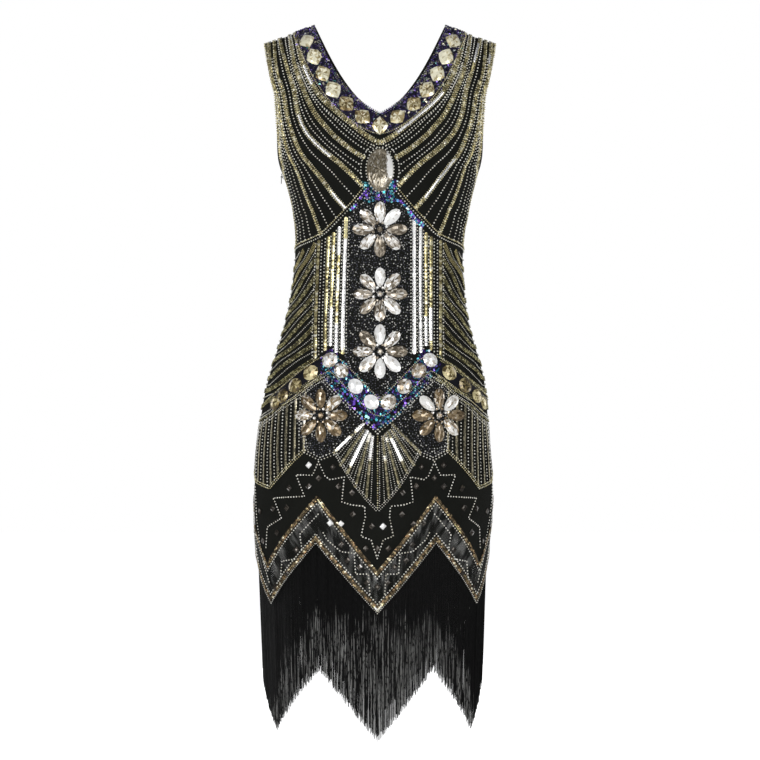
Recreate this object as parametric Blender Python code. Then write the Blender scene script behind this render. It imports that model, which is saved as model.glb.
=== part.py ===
"""A sleeveless beaded flapper dress, filled out as it is worn, with nobody in it.

Metres. +Z is up, X runs across the shoulders and the front faces -Y. The origin lies midway
between the two shoulder seams, level with their inner ends, so every height is negative.

The cloth is a thin wall over horizontal sections. A place on it is an angle round the body,
0 at the middle of a panel and 90 degrees at the side seam, and a course, the distance down
from the shoulder seam. The front and the back panel share all their functions.
"""

import math
from collections import namedtuple

import bmesh
import bpy
from mathutils import Vector
from mathutils.bvhtree import BVHTree

FRONT, BACK = -1, 1
Cloth = namedtuple("Cloth", "face tree")  # a panel, and its built surface

# Cloth
WALL = 0.0016  # beaded net over its lining
SEAM_GAP = 0.0003  # between two panels at a seam
SHOULDER_ROUND = 0.045  # how far below the seam the shoulder becomes upright
SHOULDER_SLOPE = 0.35  # fall of the shoulder seam, per metre outwards
SLOPE_ENDS = -0.150  # the height at which a section is level again

# Half the dress at a height: how far out the side is, how deep each panel's middle is, and how far
# both side seams swing across together
Section = namedtuple("Section", "height side front back swing")
SECTIONS = (
    Section(0.000, 0.1660, 0.048, 0.046, 0.0000),
    Section(-0.065, 0.1580, 0.066, 0.064, 0.0000),
    Section(-0.100, 0.1505, 0.076, 0.076, 0.0000),
    Section(-0.135, 0.1475, 0.085, 0.084, 0.0000),
    Section(-0.187, 0.1470, 0.097, 0.091, 0.0000),
    Section(-0.207, 0.1440, 0.101, 0.092, 0.0000),
    Section(-0.222, 0.1375, 0.103, 0.091, 0.0008),
    Section(-0.257, 0.1285, 0.105, 0.086, 0.0012),
    Section(-0.291, 0.1237, 0.101, 0.080, 0.0005),
    Section(-0.335, 0.1213, 0.095, 0.075, -0.0014),
    Section(-0.380, 0.1245, 0.094, 0.081, -0.0028),
    Section(-0.431, 0.1332, 0.097, 0.094, -0.0044),
    Section(-0.500, 0.1533, 0.102, 0.111, -0.0052),
    Section(-0.535, 0.1606, 0.105, 0.114, -0.0068),
    Section(-0.605, 0.1681, 0.109, 0.113, -0.0098),
    Section(-0.674, 0.1727, 0.111, 0.108, -0.0094),
    Section(-0.744, 0.1705, 0.109, 0.104, -0.0112),
    Section(-0.860, 0.1635, 0.106, 0.101, -0.0102),
)
MIDDLE_SWING = 0.35  # the share of the swing at the middle of a panel

# Bust cups, each a soft swelling of the front panel
CUP_RISE = 0.017
CUP_CENTRE = (0.074, -0.238)
CUP_REACH = (0.050, 0.056)

# Neckline: a V with bowed sides, height = bottom + lean * x + bow * x * x
NECK_BOTTOM = -0.136
NECK_LEAN = 0.42
NECK_BOW = 10.9

# Armholes
UNDERARM = -0.207
ARM_WAIST = -0.115  # where the armhole cuts in furthest
ARM_ANGLE = math.radians(54)
ARM_FLARE = math.radians(4)  # the shoulder reaches this much further round

# Pointed hem: corners from the middle of a panel round to the side seam
Corner = namedtuple("Corner", "angle height")
HEM = (
    Corner(math.radians(0), -0.840),
    Corner(math.radians(30), -0.742),
    Corner(math.radians(60), -0.831),
    Corner(math.radians(90), -0.742),
)
HIP_LINE = -0.640  # sections are level down to here, then lean to the hem
HEM_WAVE = 0.018  # the share by which a hem point stands out
WAVE_COUNT = 6

# Grid of a panel, from its middle to a side seam and down from the shoulder
COLUMNS = 12
NECK_ROWS = 10
NECK_ROW_GROWTH = 1.35  # the rows lie closer together over the shoulder
ARM_ROWS = 4
BODY_ROWS = 13
HEM_ROWS = 4

# Trim sewn on the panels
TRIM_LIFT = 0.0012  # under a trim, so that it clears the flat facets of the wall
BAND_RISE = 0.0011
NECK_BAND_WIDTH = 0.034
BAND_TURN = 0.015  # a band's crossings turn over this much of its length, either way
HIP_BAND_WIDTH = 0.022
STONE_RISE = 0.0038
STONE_GIRDLE = 0.35  # where a stone is widest, as a share of its rise
MOUND_SIDES = 10
STONE_LENGTH = 0.019
STONE_CUT = ((-0.45, 0), (0.0, 1), (0.45, 0))  # share of its length, and whether it is raised
BAND_COLUMNS = (-0.5, -0.27, 0.0, 0.27, 0.5)  # across a band
PETAL = (0.028, 0.0125)
PETAL_START = 0.010  # from a flower's centre to its petals
PETAL_SHOULDER = 0.28  # where a petal is widest, as a share of its length
HUB_RADIUS = 0.0055
PETALS = 8
MEDALLION = (0.058, 0.036)
MEDALLION_PLACE = (0.0, -0.218)
MEDALLION_LEVELS = (  # share of its size, and height over the cloth, from below to the top
    (0.55, TRIM_LIFT),
    (1.00, TRIM_LIFT),
    (1.00, TRIM_LIFT + BAND_RISE),
    (0.86, STONE_RISE),
    (0.45, STONE_RISE + 0.001),
)
FLOWER_PLACES = (  # across and height, of the three on the middle line and the two at the hips
    (0.0, -0.300),
    (0.0, -0.391),
    (0.0, -0.472),
    (-0.083, -0.562),
    (0.083, -0.562),
)
# The neck band's middle line on one half: across and height. It has a stone at each place but its end.
NECK_STONES = (
    (0.0000, -0.1540),
    (0.0245, -0.1410),
    (0.0475, -0.1220),
    (0.0660, -0.1010),
    (0.0810, -0.0770),
    (0.0935, -0.0520),
    (0.1040, -0.0280),
)
NECK_BAND_END = (0.1100, -0.0135)
# The hip band's point, and the places of the stones along one half of it: across and height
HIP_POINT = (0.000, -0.556)
HIP_STONES = (
    (0.012, -0.543),
    (0.034, -0.521),
    (0.054, -0.499),
    (0.070, -0.484),
    (0.097, -0.502),
    (0.119, -0.520),
    (0.137, -0.535),
    (0.148, -0.545),
)
HIP_BAND_END = (0.1525, -0.549)

# Fringe
TAPE = 0.0010
TAPE_SET_IN = WALL + 0.0009  # the tape is sewn inside the hem
TAPE_TOP = 0.010  # above the hem's edge
TAPE_BOTTOM = 0.002
STRANDS_PER_EDGE = 15  # on each of the six straight edges of a panel's hem
STRAND_SHARE = 0.55  # of its slot that a strand fills
SLOTS_PER_FACE = 3  # strands under one face of the tape
FRINGE_LENGTH = 0.173
FRINGE_UNEVEN = 0.004

# Zip in the side seam at -X
ZIP_TOP = UNDERARM - 0.002
ZIP_BOTTOM = -0.460
ZIP_HALF_GAP = 0.0014
ZIP_FADE = 0.012
ZIP_TAPE = 0.0007
ZIP_TAPE_DROP = 0.003  # the tape starts this much below the zip's top
ZIP_TAPE_HALF = 0.006
ZIP_TAPE_SET_IN = WALL + 0.0007
COIL_HALF = 0.0010
COIL_PROUD = 0.0002
SLIDER_HEIGHT = -0.2165
SLIDER_LIFT = 0.0008
SLIDER_SIZE = (0.0010, 0.0056, 0.0085)  # thick, wide and tall
SLIDER_BEVEL = 0.0003
POST_ROOT = 0.0004  # how far the lug's post goes into the slider
PIVOT_LIFT = 0.0028
LUG_RADIUS = 0.0012
LUG_HOLE = 0.0007
LUG_HALF_WIDTH = 0.0006
BAR_RADIUS = 0.0004
PULL_THICK = 0.0010
PULL_HALF_WIDTH = 0.0020
PULL_TOP = 0.0005  # above its bar
PULL_WINDOW = (0.0010, 0.0020)  # half its width, and how far it reaches below the pivot
PULL_LENGTH = 0.0100

SHARP_ANGLE = math.radians(40)  # edges sharper than this are shaded as edges


def between(low, high, share):
    return low + (high - low) * share


def ease(value):
    """0 to 1 with a soft start and end."""
    value = min(1.0, max(0.0, value))
    return value * value * (3 - 2 * value)


def section(column, height):
    """A column of SECTIONS at any height, on a smooth curve through the table."""
    height = min(SECTIONS[0].height, max(SECTIONS[-1].height, height))
    last = len(SECTIONS) - 1
    i = next(k for k in range(last) if SECTIONS[k + 1].height <= height)
    heights = [row.height for row in SECTIONS]
    values = [getattr(row, column) for row in SECTIONS]

    def slope(k):
        before, after = max(k - 1, 0), min(k + 1, last)
        return (values[after] - values[before]) / (heights[after] - heights[before])

    span = heights[i + 1] - heights[i]
    s = (height - heights[i]) / span
    return (
        values[i] * (1 + 2 * s) * (1 - s) ** 2
        + slope(i) * span * s * (1 - s) ** 2
        + values[i + 1] * s * s * (3 - 2 * s)
        + slope(i + 1) * span * s * s * (s - 1)
    )


def height_of(course):
    """The height of a level section at a distance down from the shoulder seam."""
    turn = min(course / SHOULDER_ROUND, math.pi / 2)
    straight = max(0.0, course - SHOULDER_ROUND * math.pi / 2)
    return -SHOULDER_ROUND * (1 - math.cos(turn)) - straight


def course_of(height):
    if height > -SHOULDER_ROUND:
        return SHOULDER_ROUND * math.acos(1 + height / SHOULDER_ROUND)
    return SHOULDER_ROUND * (math.pi / 2 - 1) - height


def armhole_angle(height):
    """How far round a panel reaches at a height."""
    if height <= UNDERARM:
        return math.pi / 2
    if height > ARM_WAIST:
        return ARM_ANGLE + ARM_FLARE * (1 - height / ARM_WAIST) ** 2
    down = (ARM_WAIST - height) / (ARM_WAIST - UNDERARM)
    return math.pi / 2 - (math.pi / 2 - ARM_ANGLE) * math.sqrt(max(0.0, 1 - down * down))


def half_width(height):
    """How wide a whole section would be, if the armholes didn't cut it."""
    return section("side", height) / math.sin(armhole_angle(height))


def neck_angle(height):
    """Where a panel starts at a height: 0, or the edge of the neckline."""
    if height <= NECK_BOTTOM:
        return 0.0
    root = math.sqrt(NECK_LEAN**2 + 4 * NECK_BOW * (height - NECK_BOTTOM))
    return math.asin((root - NECK_LEAN) / (2 * NECK_BOW) / half_width(height))


def shoulder_fall(across, height):
    """How far below its section a point lies, out towards the end of the shoulder."""
    inner = half_width(0) * math.sin(neck_angle(0))
    return SHOULDER_SLOPE * max(0.0, abs(across) - inner) * ease(1 - height / SLOPE_ENDS)


def swung(sine, height):
    """How far across the sections swing at a height, where sine is that of the angle round them."""
    return section("swing", height) * between(MIDDLE_SWING, 1, sine * sine)


def surface(face, angle, course):
    """The point of the cloth's outside at an angle and a course."""
    height = height_of(course)
    depth = section("front" if face == FRONT else "back", height)
    low = ease((HIP_LINE - height) / (HIP_LINE - HEM[0].height))
    stand = 1 + HEM_WAVE * low * math.cos(WAVE_COUNT * angle)
    across = half_width(height) * math.sin(angle) * stand
    away = math.sin(min(course / SHOULDER_ROUND, math.pi / 2)) * depth * math.cos(angle)
    if face == FRONT:
        side = (abs(across) - CUP_CENTRE[0]) / CUP_REACH[0]
        up = (height - CUP_CENTRE[1]) / CUP_REACH[1]
        away += CUP_RISE * math.exp(-side * side - up * up) * math.cos(angle)
    y = face * (SEAM_GAP / 2 + away * stand)
    across += swung(math.sin(angle), height)
    return Vector((across, y, height - shoulder_fall(across, height)))


def outward(face, angle, course):
    """The direction out of the cloth."""
    step = 1e-5
    round_body = surface(face, angle + step, course) - surface(face, angle - step, course)
    down = surface(face, angle, course + step) - surface(face, angle, max(0, course - step))
    return (round_body.cross(down) * face).normalized()


def lifted(face, angle, course, lift):
    return surface(face, angle, course) + outward(face, angle, course) * lift


def place_on(cloth, across, height, lift):
    """The point over a panel, as built, at a place seen straight from the front or the back."""
    level = height
    for _ in range(4):
        level = min(0.0, height + shoulder_fall(across, level))
    sine = 0.0
    for _ in range(4):
        sine = max(-1.0, min(1.0, (across - swung(sine, level)) / half_width(level)))
    angle = math.asin(sine)
    start = Vector((across, cloth.face, height))
    spot = cloth.tree.ray_cast(start, Vector((0, -cloth.face, 0)))[0]
    if spot is None:
        spot = surface(cloth.face, angle, course_of(level))
    return spot + outward(cloth.face, angle, course_of(level)) * lift


def hem_height(angle):
    angle = min(abs(angle), HEM[-1].angle)
    for inner, outer in zip(HEM, HEM[1:]):
        if angle <= outer.angle + 1e-9:
            share = (angle - inner.angle) / (outer.angle - inner.angle)
            return between(inner.height, outer.height, share)


def material(name, colour, roughness, metallic=0.0):
    made = bpy.data.materials.new(name)
    made.use_nodes = True
    shader = made.node_tree.nodes["Principled BSDF"]
    shader.inputs["Base Color"].default_value = (*colour, 1)
    shader.inputs["Roughness"].default_value = roughness
    shader.inputs["Metallic"].default_value = metallic
    return made


def solid(name, points, faces, finish):
    """A named object of one closed mesh, with its faces turned out."""
    mesh = bpy.data.meshes.new(name)
    mesh.from_pydata([tuple(p) for p in points], [], faces)
    shape = bmesh.new()
    shape.from_mesh(mesh)
    bmesh.ops.recalc_face_normals(shape, faces=shape.faces)
    shape.to_mesh(mesh)
    shape.free()
    mesh.shade_smooth()
    mesh.set_sharp_from_angle(angle=SHARP_ANGLE)
    mesh.materials.append(finish)
    made = bpy.data.objects.new(name, mesh)
    bpy.context.scene.collection.objects.link(made)
    return made


def thick_sheet(name, sheet, faces, finish):
    """A closed wall from a sheet: key to (outer point, inner point), and faces as lists of keys."""
    index = {key: i for i, key in enumerate(sheet)}
    count = len(sheet)
    points = [pair[0] for pair in sheet.values()] + [pair[1] for pair in sheet.values()]
    outer = [[index[key] for key in face] for face in faces]
    inner = [[i + count for i in reversed(face)] for face in outer]
    edges = [edge for face in outer for edge in zip(face, face[1:] + face[:1])]
    known = set(edges)
    rim = [(b, a, a + count, b + count) for a, b in edges if (b, a) not in known]
    return solid(name, points, outer + inner + rim, finish)


def zip_cut(height):
    """How far a panel's edge stands back from the side seam, along the zip."""
    top = ease((ZIP_TOP + ZIP_FADE - height) / ZIP_FADE)
    return ZIP_HALF_GAP * min(top, ease((height - ZIP_BOTTOM) / ZIP_FADE))


def side_angle(half, height):
    """How far round a half panel reaches, with room for the zip at -X."""
    angle = armhole_angle(height)
    if half > 0:
        return angle
    return angle - zip_cut(height) / section("front", height)


def level_courses():
    """The courses of a panel's level rows, closer together where the armhole turns."""
    neck, arm, hip = (course_of(h) for h in (NECK_BOTTOM, UNDERARM, HIP_LINE))
    rows = [neck * (i / NECK_ROWS) ** NECK_ROW_GROWTH for i in range(NECK_ROWS)]
    rows += [between(neck, arm, math.sin(math.pi / 2 * i / ARM_ROWS)) for i in range(ARM_ROWS)]
    return rows + [between(arm, hip, i / BODY_ROWS) for i in range(BODY_ROWS + 1)]


def panel(name, face, finish):
    """One whole panel: two half grids that share the middle line below the neck."""
    levels = level_courses()
    sheet, faces = {}, []

    def key(half, row, column):
        split = row < len(levels) and height_of(levels[row]) > NECK_BOTTOM + 1e-6
        return (row, column * half, half if split else 0) if column == 0 else (row, column * half)

    for half in (-1, 1):
        for row in range(len(levels) + HEM_ROWS):
            for column in range(COLUMNS + 1):
                if row < len(levels):
                    course = levels[row]
                    height = height_of(course)
                    ends = neck_angle(height), side_angle(half, height)
                    angle = half * between(*ends, column / COLUMNS)
                else:
                    angle = half * math.pi / 2 * column / COLUMNS
                    down = (row - len(levels) + 1) / HEM_ROWS
                    course = course_of(between(HIP_LINE, hem_height(angle), down))
                point = surface(face, angle, course)
                inside = point - outward(face, angle, course) * WALL
                sheet[key(half, row, column)] = point, inside
                if row and column:
                    corners = [(row, column), (row - 1, column), (row - 1, column - 1), (row, column - 1)]
                    loop = [key(half, *corner) for corner in corners]
                    faces.append(loop if half > 0 else loop[::-1])
    return thick_sheet(name, sheet, faces, finish)


def mound(name, cloth, centre, radii, levels, finish):
    """A closed low mound on the cloth: levels are (share of the radii, lift), from below to the top."""
    sides = MOUND_SIDES
    points = []
    for share, lift in levels:
        for i in range(sides):
            a = 2 * math.pi * (i + 0.5) / sides
            x = centre[0] + share * radii[0] * math.cos(a)
            z = centre[1] + share * radii[1] * math.sin(a)
            points.append(place_on(cloth, x, z, lift))
    points.append(place_on(cloth, *centre, levels[0][1]))
    middle = len(points) - 1
    walls = []
    for low in range(0, middle - sides, sides):
        for i in range(sides):
            after = (i + 1) % sides
            walls.append((low + i, low + after, low + sides + after, low + sides + i))
    bottom = [(i, middle, (i + 1) % sides) for i in range(sides)]
    top = tuple(range(middle - sides, middle))
    return solid(name, points, walls + bottom + [top], finish)


def medallion(name, cloth, finish):
    """A long oval plaque of beads at the middle of the bust."""
    radii = (MEDALLION[1] / 2, MEDALLION[0] / 2)
    return mound(name, cloth, MEDALLION_PLACE, radii, MEDALLION_LEVELS, finish)


def flower(name, cloth, centre, finish):
    """Pointed petal stones that meet at a small domed hub, as one star-shaped solid."""
    step = 2 * math.pi / PETALS
    shoulder = PETAL_START + PETAL_SHOULDER * PETAL[0]
    tip = PETAL_START + PETAL[0]
    half = PETAL[1] / 2

    def at(turn, reach, aside, lift):
        x = centre[0] + reach * math.cos(turn) - aside * math.sin(turn)
        z = centre[1] + reach * math.sin(turn) + aside * math.cos(turn)
        return place_on(cloth, x, z, lift)

    girdle = between(TRIM_LIFT, STONE_RISE, STONE_GIRDLE)
    spots = []  # the eleven points of each petal's share of the star
    for i in range(PETALS):
        turn = step * i + math.pi / 2
        valley = (turn - step / 2, PETAL_START, 0)
        outline = [valley, (turn, shoulder, -half), (turn, tip, 0), (turn, shoulder, half)]
        spots += [at(*place, TRIM_LIFT) for place in outline]
        spots += [at(*place, girdle) for place in outline]
        spots.append(at(turn, shoulder, 0, TRIM_LIFT))
        spots.append(at(turn, shoulder, 0, STONE_RISE))
        spots.append(at(turn - step / 2, HUB_RADIUS, 0, STONE_RISE))
    each = len(spots) // PETALS
    spots.append(place_on(cloth, *centre, TRIM_LIFT))
    faces = [[each * i + each - 1 for i in range(PETALS)]]
    for i in range(PETALS):
        following = each * ((i + 1) % PETALS)
        low = [*range(each * i, each * i + 4), following]
        high = [k + 4 for k in low]
        under, ridge, hub = range(each * i + 8, each * i + each)
        next_hub = following + each - 1
        faces += [(low[k], low[k + 1], high[k + 1], high[k]) for k in range(4)]
        faces += [(low[k + 1], low[k], under) for k in range(4)]
        faces += [(high[k], high[k + 1], ridge) for k in range(4)]
        faces += [(low[0], len(spots) - 1, under), (len(spots) - 1, low[4], under)]
        faces += [(high[0], ridge, hub), (ridge, high[4], next_hub), (ridge, next_hub, hub)]
    return solid(name, spots, faces, finish)


def whole_line(cloth, half):
    """A line over both halves of a panel, from the half that starts on the middle line.

    It is the distance along the cloth at each point, and the points.
    """
    points = [(-x, z) for x, z in reversed(half[1:])] + list(half)
    runs = [0.0]
    for before, after in zip(points, points[1:]):
        stretch = place_on(cloth, *after, 0) - place_on(cloth, *before, 0)
        runs.append(runs[-1] + stretch.length)
    return runs, points


def along(line, run):
    """The place at a distance along a line of (runs, points)."""
    runs, points = line
    run = min(runs[-1], max(0.0, run))
    i = next(k for k in range(len(runs) - 1) if runs[k + 1] >= run)
    share = (run - runs[i]) / (runs[i + 1] - runs[i])
    return tuple(between(low, high, share) for low, high in zip(points[i], points[i + 1]))


def band(name, cloth, half, stones, width, finish):
    """A raised band along a line, with its outer face drawn up into a cut stone at each of stones."""
    runs, points = line = whole_line(cloth, half)
    stations = {}
    for run, (across, height) in zip(runs, points):
        if (abs(across), height) in stones:
            stations |= {run + share * STONE_LENGTH: raised for share, raised in STONE_CUT}
        else:
            stations[run] = 0
    sheet, faces = {}, []
    for i, run in enumerate(sorted(run for run in stations if 0 <= run <= runs[-1])):
        back, ahead = along(line, run - BAND_TURN), along(line, run + BAND_TURN)
        way = Vector((ahead[0] - back[0], ahead[1] - back[1])).normalized()
        middle = along(line, run)
        for j, offset in enumerate(BAND_COLUMNS):
            rise = BAND_RISE * (1 - abs(offset))
            if stations[run]:
                rise = between(STONE_RISE - TRIM_LIFT, rise, 2 * abs(offset))
            spot = (middle[0] - way[1] * offset * width, middle[1] + way[0] * offset * width)
            sheet[i, j] = place_on(cloth, *spot, TRIM_LIFT + rise), place_on(cloth, *spot, TRIM_LIFT)
            if i and j:
                faces.append([(i, j), (i - 1, j), (i - 1, j - 1), (i, j - 1)])
    return thick_sheet(name, sheet, faces, finish)


def fringe_edges():
    """Angles along the fringe tape: ("corner", angle) and ("strand", left, right), in order."""
    edge = math.radians(30)
    slot = edge / STRANDS_PER_EDGE
    spots = []
    for start in (edge * k for k in range(-3, 3)):
        spots.append(("corner", start, start))
        for i in range(STRANDS_PER_EDGE):
            middle = start + slot * (i + 0.5)
            spots.append(("strand", middle - slot * STRAND_SHARE / 2, middle + slot * STRAND_SHARE / 2))
    return spots + [("corner", 3 * edge, 3 * edge)]


def fringe(name, face, finish):
    """A tape inside the hem, and square strands that hang from its lower edge."""
    points, faces = [], []

    def column(angle, above, inner):
        course = course_of(hem_height(angle) + above)
        points.append(lifted(face, angle, course, -TAPE_SET_IN - (TAPE if inner else 0)))
        return len(points) - 1

    def pair(angle, above):
        return column(angle, above, False), column(angle, above, True)

    low, strands = [], []
    top = []
    for i, (kind, left, right) in enumerate(fringe_edges()):
        if kind == "corner":
            low.append(pair(left, TAPE_BOTTOM))
        else:
            roots = pair(left, TAPE_BOTTOM), pair(right, TAPE_BOTTOM)
            low += roots
            strands.append((len(low) - 2, left))
        # The tape's top has a point at each corner, and at each few strands between them.
        place = i % (STRANDS_PER_EDGE + 1)
        if place == 0 or (place % SLOTS_PER_FACE == 0 and place < STRANDS_PER_EDGE):
            at_top = left if kind == "corner" else right
            top.append((pair(at_top, TAPE_TOP), len(low) - 1))
    for (upper, first), (next_upper, last) in zip(top, top[1:]):
        for side in (0, 1):
            loop = [low[k][side] for k in range(first, last + 1)] + [next_upper[side], upper[side]]
            faces.append(loop)
        faces.append((upper[0], next_upper[0], next_upper[1], upper[1]))
    rooted = {k for k, _ in strands}
    for k in range(len(low) - 1):
        if k not in rooted:
            faces.append((low[k][0], low[k + 1][0], low[k + 1][1], low[k][1]))
    for k, angle in strands:
        root = (low[k][0], low[k + 1][0], low[k + 1][1], low[k][1])
        ragged = FRINGE_UNEVEN * math.sin(7.3 * k + 2 * face) * math.sin(1.9 * k)
        bottom = hem_height(angle) - FRINGE_LENGTH + ragged
        tip = []
        for corner in root:
            points.append(Vector((points[corner].x, points[corner].y, bottom)))
            tip.append(len(points) - 1)
        faces += [(root[j], root[(j + 1) % 4], tip[(j + 1) % 4], tip[j]) for j in range(4)]
        faces.append(tuple(tip))
    for end in (0, -1):
        (upper, _), lower = top[end], low[end]
        faces.append((upper[0], upper[1], lower[1], lower[0]))
    return solid(name, points, faces, finish)


def shaped(base, tool, operation):
    """Joins a tool to a solid, or cuts it out of it, and keeps the tool out of the dress."""
    tool.hide_render = True
    tool.display_type = "WIRE"
    change = base.modifiers.new(tool.name, "BOOLEAN")
    change.operation = operation
    change.object = tool
    return base


def round_side(offset, course, lift):
    """A point near the side seam at -X, an offset in front of it (-) or behind it (+)."""
    face = FRONT if offset <= 0 else BACK
    depth = section("front" if face == FRONT else "back", height_of(course))
    return lifted(face, -math.pi / 2 + abs(offset) / depth, course, lift)


def zip_tape(name, finish):
    """The closed zip: a tape behind the seam, with its coil standing in the gap."""
    columns = (
        (-ZIP_TAPE_HALF, -ZIP_TAPE_SET_IN),
        (-COIL_HALF, -ZIP_TAPE_SET_IN),
        (-COIL_HALF * 0.95, COIL_PROUD),
        (COIL_HALF * 0.95, COIL_PROUD),
        (COIL_HALF, -ZIP_TAPE_SET_IN),
        (ZIP_TAPE_HALF, -ZIP_TAPE_SET_IN),
    )
    first = course_of(ZIP_TOP - ZIP_TAPE_DROP)
    courses = [first] + [course for course in level_courses() if first < course < course_of(ZIP_BOTTOM)]
    sheet, faces = {}, []
    for i, course in enumerate(courses):
        for j, (offset, lift) in enumerate(columns):
            inner = round_side(offset, course, -ZIP_TAPE_SET_IN - ZIP_TAPE)
            sheet[i, j] = round_side(offset, course, lift), inner
            if i and j:
                faces.append([(i, j), (i - 1, j), (i - 1, j - 1), (i, j - 1)])
    return thick_sheet(name, sheet, faces, finish)


def slider_frame():
    """The slider's seat on the seam, the direction out of the cloth, and the direction up it."""
    course = course_of(SLIDER_HEIGHT)
    above = max(row for row in level_courses() if row <= course)
    below = min(row for row in level_courses() if row > course)
    top, low = (surface(FRONT, -math.pi / 2, row) for row in (above, below))
    seat = top.lerp(low, (course - above) / (below - above))
    up = (top - low).normalized()
    seat.y = up.y = 0.0
    return seat, up.cross(Vector((0, 1, 0))).normalized(), up.normalized()


def prism(name, outline, low, high, finish):
    """A slab between two planes across Y: outline is a list of (x, z) points."""
    count = len(outline)
    points = [Vector((x, y, z)) for y in (low, high) for x, z in outline]
    walls = [(i, (i + 1) % count, count + (i + 1) % count, count + i) for i in range(count)]
    caps = [tuple(range(count)), tuple(range(count, 2 * count))]
    return solid(name, points, walls + caps, finish)


def circle(centre, radius, sides):
    steps = [2 * math.pi * i / sides for i in range(sides)]
    return [(centre[0] + radius * math.cos(a), centre[1] + radius * math.sin(a)) for a in steps]


def zip_slider(name, finish):
    """The slider's body on the coil, with a lug that holds the pull tab's bar."""
    seat, out, up = slider_frame()
    thick, wide, tall = SLIDER_SIZE

    def spot(lift, along):
        point = seat + out * lift + up * along
        return point.x, point.z

    top = SLIDER_LIFT + thick
    outline = [
        spot(SLIDER_LIFT, -tall / 2),
        spot(top - SLIDER_BEVEL, -tall / 2),
        spot(top, -tall / 2 + SLIDER_BEVEL * 2),
        spot(top, tall / 2 - SLIDER_BEVEL * 2),
        spot(top - SLIDER_BEVEL, tall / 2),
        spot(SLIDER_LIFT, tall / 2),
    ]
    body = prism(name, outline, -wide / 2, wide / 2, finish)
    pivot = spot(PIVOT_LIFT, 0)
    disc = circle(pivot, LUG_RADIUS, 16)
    root = top - POST_ROOT
    foot = [spot(root, -LUG_RADIUS), spot(root, LUG_RADIUS), spot(PIVOT_LIFT, LUG_RADIUS * 0.8)]
    foot.append(spot(PIVOT_LIFT, -LUG_RADIUS * 0.8))
    lug = prism(name + "_lug", disc, -LUG_HALF_WIDTH, LUG_HALF_WIDTH, finish)
    post = prism(name + "_post", foot, -LUG_HALF_WIDTH, LUG_HALF_WIDTH, finish)
    hole = prism(name + "_hole", circle(pivot, LUG_HOLE, 12), -wide, wide, finish)
    for tool, operation in ((lug, "UNION"), (post, "UNION"), (hole, "DIFFERENCE")):
        shaped(body, tool, operation)
    return body


def slab(name, outline, thick, finish):
    """A plate between two planes across X, about X = 0: outline is a list of (y, z) points."""
    count = len(outline)
    points = [Vector((x, y, z)) for x in (-thick / 2, thick / 2) for y, z in outline]
    walls = [(i, (i + 1) % count, count + (i + 1) % count, count + i) for i in range(count)]
    caps = [tuple(range(count)), tuple(range(count, 2 * count))]
    return solid(name, points, walls + caps, finish)


def zip_pull(name, finish):
    """The pull tab, hung straight down from its bar, which is its origin and turns in the lug."""
    seat, out, _ = slider_frame()
    half, window, reach = PULL_HALF_WIDTH, *PULL_WINDOW
    side = (  # down one side, from just above the bar to the rounded end
        (half * 0.8, PULL_TOP),
        (half, 0.0),
        (half * 0.75, -PULL_LENGTH * 0.3),
        (half * 0.9, -PULL_LENGTH * 0.8),
        (half * 0.5, -PULL_LENGTH),
    )
    plate = slab(name, [*side, *((-y, z) for y, z in reversed(side))], PULL_THICK, finish)
    corners = [(-window, -reach), (window, -reach), (window, half), (-window, half)]
    opening = slab(name + "_window", corners, PULL_THICK * 2, finish)
    bar = prism(name + "_bar", circle((0, 0), BAR_RADIUS, 10), -half * 0.9, half * 0.9, finish)
    pivot = seat + out * PIVOT_LIFT
    for piece in (plate, opening, bar):
        piece.location = pivot
    shaped(plate, opening, "DIFFERENCE")
    return shaped(plate, bar, "UNION")


def main():
    for old in list(bpy.data.objects):
        bpy.data.objects.remove(old)
    net = material("black beaded net", (0.012, 0.012, 0.014), 0.75)
    beads = material("gold and violet beads", (0.45, 0.34, 0.16), 0.35, 0.8)
    stones = material("champagne stones", (0.70, 0.60, 0.44), 0.15, 0.6)
    thread = material("black fringe thread", (0.010, 0.010, 0.011), 0.5)
    metal = material("black zip metal", (0.02, 0.02, 0.02), 0.35, 0.7)
    for side, face in (("front", FRONT), ("back", BACK)):
        cut = panel(side + "_panel", face, net)
        corners = [corner.co for corner in cut.data.vertices]
        cloth = Cloth(face, BVHTree.FromPolygons(corners, [tuple(p.vertices) for p in cut.data.polygons]))
        neck_line = (*NECK_STONES, NECK_BAND_END)
        band("neck_band_" + side, cloth, neck_line, NECK_STONES, NECK_BAND_WIDTH, beads)
        hip_line = (HIP_POINT, *HIP_STONES, HIP_BAND_END)
        band("hip_band_" + side, cloth, hip_line, HIP_STONES, HIP_BAND_WIDTH, beads)
        medallion("medallion_" + side, cloth, stones)
        for number, place in enumerate(FLOWER_PLACES, 1):
            flower(f"flower_{side}_{number}", cloth, place, stones)
        fringe("fringe_" + side, face, thread)
    zip_tape("zip_tape", net)
    zip_slider("zip_slider", metal)
    zip_pull("zip_pull", metal)


main()
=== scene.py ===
import math
import random

import bmesh
import bpy
from mathutils import Matrix, Vector


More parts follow.
